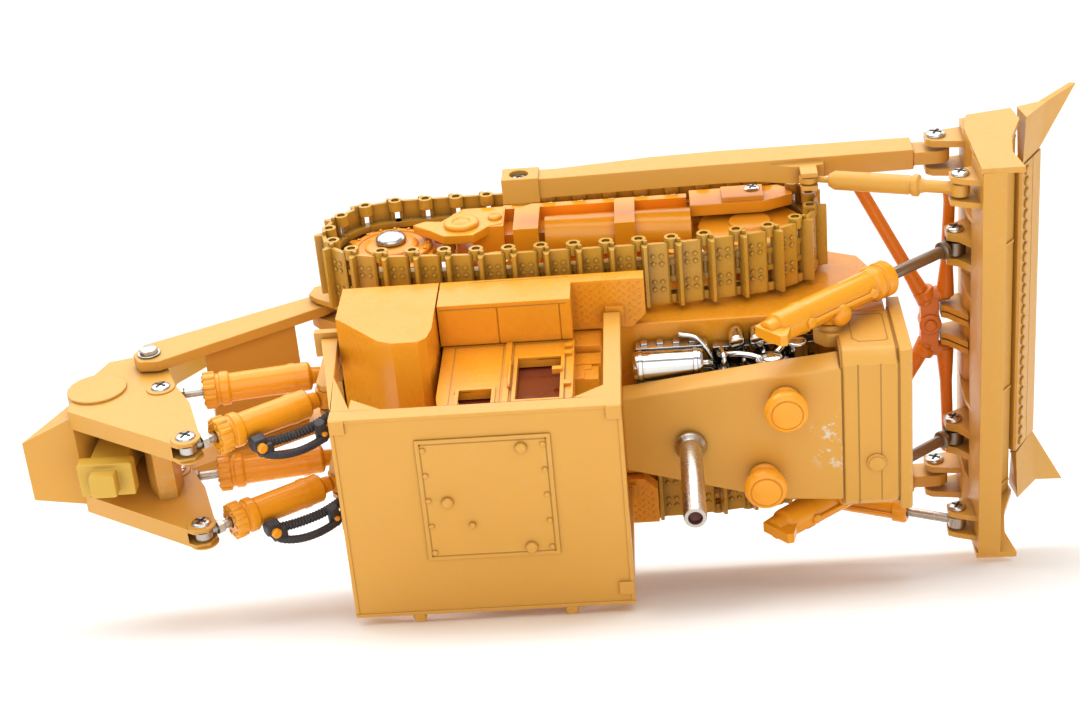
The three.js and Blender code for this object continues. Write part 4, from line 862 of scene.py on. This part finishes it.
# Painted shade: dark plates set in the hood's joints.
b = Build()
for x0, x1, low in ((47.3, 47.9, 48), (58.1, 58.6, 37.4)):
    outline = [(-17, low), (-17, 54.9), (-14.7, 57.1), (14.7, 57.1), (17, 54.9), (17, low)]
    b.skin([[(x, y, z) for y, z in outline] for x in (x0, x1)])
b.done("hood_joint_shade", "machine", SEAM_SHADE, "ochre_paint")
b = Build()
b.lathe([(1.9, 0), (1.9, 0.35), (1.5, 0.6), (1.5, 0.9), (1.2, 1.0), (0.05, 1.05)],
        (53.9, -6.4, 57.45), UP, 28)
b.done("hood_fittings", "machine", OCHRE, "ochre_paint")

# ---------- cab trim ----------
b = Build()
for side in (1, -1):
    y0, y1 = across(side, 18.9, 19.5)
    for x0, x1, z0, z1 in ((-13.9, -5.6, 54.6, 71), (-24.6, -18.4, 66.2, 72)):
        b.box((x0 - 0.7, x0), (y0, y1), (z0 - 0.7, z1 + 0.7))
        b.box((x1, x1 + 0.7), (y0, y1), (z0 - 0.7, z1 + 0.7))
        b.box((x0, x1), (y0, y1), (z0 - 0.7, z0))
        b.box((x0, x1), (y0, y1), (z1, z1 + 0.7))
    b.tube([(-15.2, side * 19.2, 57), (-15.2, side * 20.2, 57.4), (-15.2, side * 20.2, 65.6),
            (-15.2, side * 19.2, 66)],
           0.3, 10)
    for z in (49.6, 52.6, 64.8):
        b.box((-4.9, -3.6), across(side, 18.9, 19.7), (z, z + 1.4))
b.box((-3.8, 1.75), (-15.75, 15.75), (46.9, 51.5))
b.box((-3.8, 1.3), (-15.4, 15.4), (51.8, 57.15))
b.box((-3.3, -2.9), (-15.2, 15.2), (54.4, 55))
b.box((-3.3, -2.9), (-15.2, 15.2), (68, 68.6))
b.box((-3.3, -2.9), (-0.35, 0.35), (55, 68))
b.done("cab_trim", "machine", YELLOW, "yellow_plastic", (), 0.1)
# Painted shade: the seams here drawn as dark lines.
b = Build()
for side in (1, -1):
    y = side * 19.1
    b.ribbon([(-14.8, y, 48), (-14.8, y, 73.4), (-4.7, y, 73.4), (-4.7, y, 48)], (0, side, 0), 0.22,
             0.03, True)
    b.ribbon([(-26.4, y, 48), (-26.4, y, 73.4), (-16.9, y, 73.4), (-16.9, y, 48)], (0, side, 0),
             0.2, 0.03, True)
    b.ribbon([(-28.8, side * 27.2, 47.5), (-4.2, side * 27.2, 47.5)], UP, 0.2)
b.done("cab_seam_shade", "machine", SEAM_SHADE, "yellow_plastic")

# ---------- tread plates ----------
for name, side in SIDES:
    b = Build()
    row = 0
    x = -2.6
    while x < 10.2:
        lean = 0.785 if row % 2 else -0.785
        lozenge = [(u * math.cos(lean) - v * math.sin(lean),
                    u * math.sin(lean) + v * math.cos(lean))
                   for u, v in ((0.52, 0), (0, 0.16), (-0.52, 0), (0, -0.16))]
        y = 18.9 + (0.75 if row % 2 else 0)
        while y < 27.7:
            under_foot = 2.4 < x < 7.2 and y < 23.2
            past_corner = x - 8.2 > y - 18.2
            if not under_foot and not past_corner:
                b.skin([[(x + u, side * y + v, TREAD_Z - 0.02) for u, v in lozenge],
                        [(x + u * 0.6, side * y + v * 0.6, TREAD_Z + 0.14) for u, v in lozenge]])
            y += 1.5
        x += 0.95
        row += 1
    b.done(f"{name}_tread_pattern", "machine", YELLOW, "yellow_plastic")


# ---------- ripper cylinders ----------
def ripper_cylinder(name, side, kind, root, end, reach):
    """A barrel of the given reach with a ring of head bolts, and its piston."""
    y = side * RIPPER_CYL_Y

    def at(distance, lift=0.0):
        return along(root, end, distance, y, lift)

    way = at(1) - at(0)
    square = at(0, 1) - at(0)
    b = Build()
    b.lathe([(1.6, 2.4), (1.75, 4.2), (2.6, 4.5), (2.95, 4.9), (2.95, 7.4), (3.1, 7.6),
             (3.1, 8.8), (2.95, 9), (2.95, reach - 5.4), (3.2, reach - 5.2), (3.5, reach - 4.8),
             (3.5, reach - 3.4), (3.15, reach - 3.2), (3.15, reach - 2.6), (3.5, reach - 2.4),
             (3.5, reach - 0.4), (3.3, reach), (1.25, reach), (1.2, reach - 12),
             (0.1, reach - 12.1)], at(0), way, 36)
    b.eye(root, 2.2, 1.2, y - 1.9, y + 1.9)
    for i in range(10):
        turn = 2 * math.pi * (i + 0.5) / 10
        out = Vector((0, math.cos(turn), 0)) + square * math.sin(turn)
        b.lathe([(0.4, 0), (0.55, 0.25), (0.55, 2.2), (0.4, 2.4)],
                at(reach - 2.4) + out * 3.3, way, 8)
        b.bolt(at(reach - 0.1) + out * 2.75, way, 0.42, 0.4)
    b.done(f"{name}_ripper_{kind}_cylinder", f"{name}_ripper_{kind}_barrel_body", BRIGHT,
           "yellow_plastic", [f"{name}_ripper_{kind}_barrel"], 0.1)
    r = Build()
    length = span(root, end)
    r.rod(at(reach - 7.5), at(length - 1.6), 0.92, 24)
    r.lathe([(0.9, 0), (1.5, 0.3), (1.5, 1.6), (1.0, 1.9)], at(length - 4.6), way, 6)
    r.eye(end, 1.9, 1.2, y - 0.75, y + 0.75)
    r.done(f"{name}_ripper_{kind}_piston", f"{name}_ripper_{kind}_rod_body", STEEL, "bare_steel",
           [f"{name}_ripper_{kind}_rod"])
    screw(f"{name}_ripper_{kind}_eye", "ripper_head", end, 11.7 if side > 0 else -7.7, 2.0, 0.9)


def hoses(name, side):
    """A ribbed and a plain hose over the tilt barrel, with their fittings, clip and pins."""
    y = side * RIPPER_CYL_Y

    def at(distance, lift, offset):
        return along(TILT_ROOT, TILT_END, distance, y + offset, lift)

    body = f"{name}_ripper_tilt_barrel_body"
    b = Build()
    b.tube([at(17.6, 4.7, -2.2), at(13, 5.3, -2.5), at(8, 5.75, -2.3), at(4, 5.7, -1.6),
            at(0.9, 5.2, -0.9)],
           1.05, 14, 30, 0.2, 0.66)
    b.tube([at(18.4, 4.6, -2.8), at(17, 5.9, -4.2), at(14, 7.0, -5.0), at(10, 7.6, -5.1),
            at(5.6, 7.5, -4.4), at(2.6, 6.6, -2.8), at(0.9, 5.5, -1.0)], 0.85, 14, 22, 0.06, 0.8)
    b.done(f"{name}_hydraulic_hoses", body, HOSE, "hose_rubber", [f"{name}_hose_set"])
    c = Build()
    back = at(0, 0, 0) - at(1, 0, 0)
    for place in ((19.4, 4.4, -1.9), (18.4, 5.0, -3.2)):
        c.lathe([(1.3, 0), (1.7, 0.3), (1.7, 2.7), (1.2, 3.0)], at(*place), back, 6)
    clip = at(5.4, 6.7, -3.1)
    c.lathe([(1.0, -2.4), (1.25, -2.2), (1.25, 2.2), (1.0, 2.4)], clip, (0, 1, 0.25), 12)
    c.done(f"{name}_hose_fittings", body, HOSE, "hose_rubber", (), 0.1)
    p = Build()
    square = at(0, 1, 0) - at(0, 0, 0)
    p.lathe([(1.0, 0), (1.0, 0.7), (0.7, 0.95)], at(17.9, 5.9, -2.4), square, 18)
    p.lathe([(0.55, 0), (0.55, 0.5), (0.3, 0.7)], at(5.4, 7.9, -3.2), square, 12)
    p.done(f"{name}_hose_pins", body, BRIGHT, "yellow_plastic")


for name, side in SIDES:
    ripper_cylinder(name, side, "lift", LIFT_ROOT, LIFT_END, 26)
    ripper_cylinder(name, side, "tilt", TILT_ROOT, TILT_END, 24.5)
    hoses(name, side)
    b = Build()
    lo, hi = across(side, 12.05, 14.8)
    b.lathe([(1.1, 0), (1.1, hi - lo)], (RIPPER_HINGE[0], lo, RIPPER_HINGE[1]), LEFT, 20)
    b.lathe([(2.3, 0), (2.35, 0.15), (2.3, 0.3)], (RIPPER_HINGE[0], side * 14.55, RIPPER_HINGE[1]),
            (0, side, 0), 28)
    b.lathe([(1.9, 0), (1.9, 0.85), (1.6, 1.05), (0.05, 1.08)],
            (RIPPER_HINGE[0], side * 14.82, RIPPER_HINGE[1]), (0, side, 0), 6)
    b.done(f"{name}_hinge_bolt", "ripper_head", SCREW, "bare_steel", [f"{name}_hinge_pin"], 0.08)

# bosses and ribs on the ripper frame
b = Build()
for side in (1, -1):
    b.lathe([(6.0, 0), (6.0, 0.45), (5.7, 0.62), (5.3, 0.66), (0.05, 0.68)],
            (-100.3, side * 11.6, 42.4), (0, side, 0), 44)
    for x, z in (LIFT_END, TILT_END):
        for face_y, sign in ((side * 11.62, side), (side * 7.78, -side)):
            b.lathe([(2.9, 0), (2.9, 0.3), (2.7, 0.42), (0.05, 0.42)], (x, face_y, z),
                    (0, sign, 0), 32)
b.done("ripper_frame_bosses", "ripper_head", OCHRE, "ochre_paint", (), 0.08)


# ---------- stage, light and camera ----------
# The toy lies on its right side on a table; these are the table's directions and level.
TABLE_UP = Vector((0, 0.8906, -0.4548))
TABLE_BACK = Vector((0, -0.4548, -0.8906))
TABLE_LEVEL = -56.75
SWEEP_FRONT, SWEEP_BEND, SWEEP_RADIUS, SWEEP_TOP = -1100, 400, 700, 2200
SWEEP_HALF_WIDTH = 2200


def on_table(x, back, up):
    """A point by its place on the table the toy lies on, in layout millimetres."""
    return Vector((x, 0, 0)) + TABLE_BACK * back + TABLE_UP * (TABLE_LEVEL + up)


profile = [(SWEEP_FRONT, 0), (SWEEP_BEND, 0)]
for i in range(1, 13):
    turn = math.radians(90 * i / 12)
    profile.append((SWEEP_BEND + SWEEP_RADIUS * math.sin(turn),
                    SWEEP_RADIUS * (1 - math.cos(turn))))
profile.append((SWEEP_BEND + SWEEP_RADIUS, SWEEP_TOP))
bm = bmesh.new()
rows = [[bm.verts.new(TO_FRAME @ on_table(x, back, up)) for back, up in profile]
        for x in (-SWEEP_HALF_WIDTH, SWEEP_HALF_WIDTH)]
for i in range(len(profile) - 1):
    bm.faces.new((rows[0][i], rows[1][i], rows[1][i + 1], rows[0][i + 1]))
mesh = bpy.data.meshes.new("studio_sweep")
bm.to_mesh(mesh)
bm.free()
mesh.materials.append(FLOOR)
mesh.polygons.foreach_set("use_smooth", [True] * len(mesh.polygons))
sweep = bpy.data.objects.new("studio_sweep", mesh)
bpy.context.scene.collection.objects.link(sweep)
sweep.visible_shadow = False


def area_light(name, place, target, size, power, tint=(1, 1, 1)):
    """place and target are (x, back, up) on the table; size is in metres."""
    data = bpy.data.lights.new(name, "AREA")
    data.shape = "RECTANGLE"
    data.size, data.size_y = size
    data.energy = power
    data.color = tint
    lamp = bpy.data.objects.new(name, data)
    here = TO_FRAME @ on_table(*place)
    there = TO_FRAME @ on_table(*target)
    aim = (there - here).to_track_quat("-Z", "Y").to_matrix().to_4x4()
    lamp.matrix_world = Matrix.Translation(here) @ aim
    bpy.context.scene.collection.objects.link(lamp)


area_light("key_overhead", (-120, -120, 620), (0, -40, 30), (0.9, 0.7), 4.6, (1, 0.985, 0.96))
area_light("fill_front", (60, -900, 260), (0, -40, 40), (1.0, 0.7), 2.7)
area_light("fill_below", (0, 0, -800), (0, 0, 0), (1.4, 1.4), 5.0)
area_light("backdrop_wash", (0, 500, 900), (0, 900, 0), (2.4, 0.8), 10.0)

world = bpy.data.worlds.new("studio")
world.use_nodes = True
world.node_tree.nodes["Background"].inputs["Color"].default_value = (1, 1, 1, 1)
world.node_tree.nodes["Background"].inputs["Strength"].default_value = 0.43
bpy.context.scene.world = world
bpy.context.scene.view_settings.view_transform = "Standard"

camera_data = bpy.data.cameras.new("camera")
camera_data.lens = 70.01
camera_data.sensor_width = 36
camera_data.clip_start = 0.01
camera_data.clip_end = 20
camera = bpy.data.objects.new("camera", camera_data)
eye = TO_FRAME @ Vector((16.70, 205.04, 411.22))
right = Vector((0.99600589, -0.08414144, -0.02987452))
down = Vector((-0.06067734, -0.88330331, 0.4648586))
ahead = Vector((-0.06550213, -0.4611892, -0.88488078))
camera.matrix_world = Matrix((
    (right.x, -down.x, -ahead.x, eye.x),
    (right.y, -down.y, -ahead.y, eye.y),
    (right.z, -down.z, -ahead.z, eye.z),
    (0, 0, 0, 1),
))
bpy.context.scene.collection.objects.link(camera)
bpy.context.scene.camera = camera
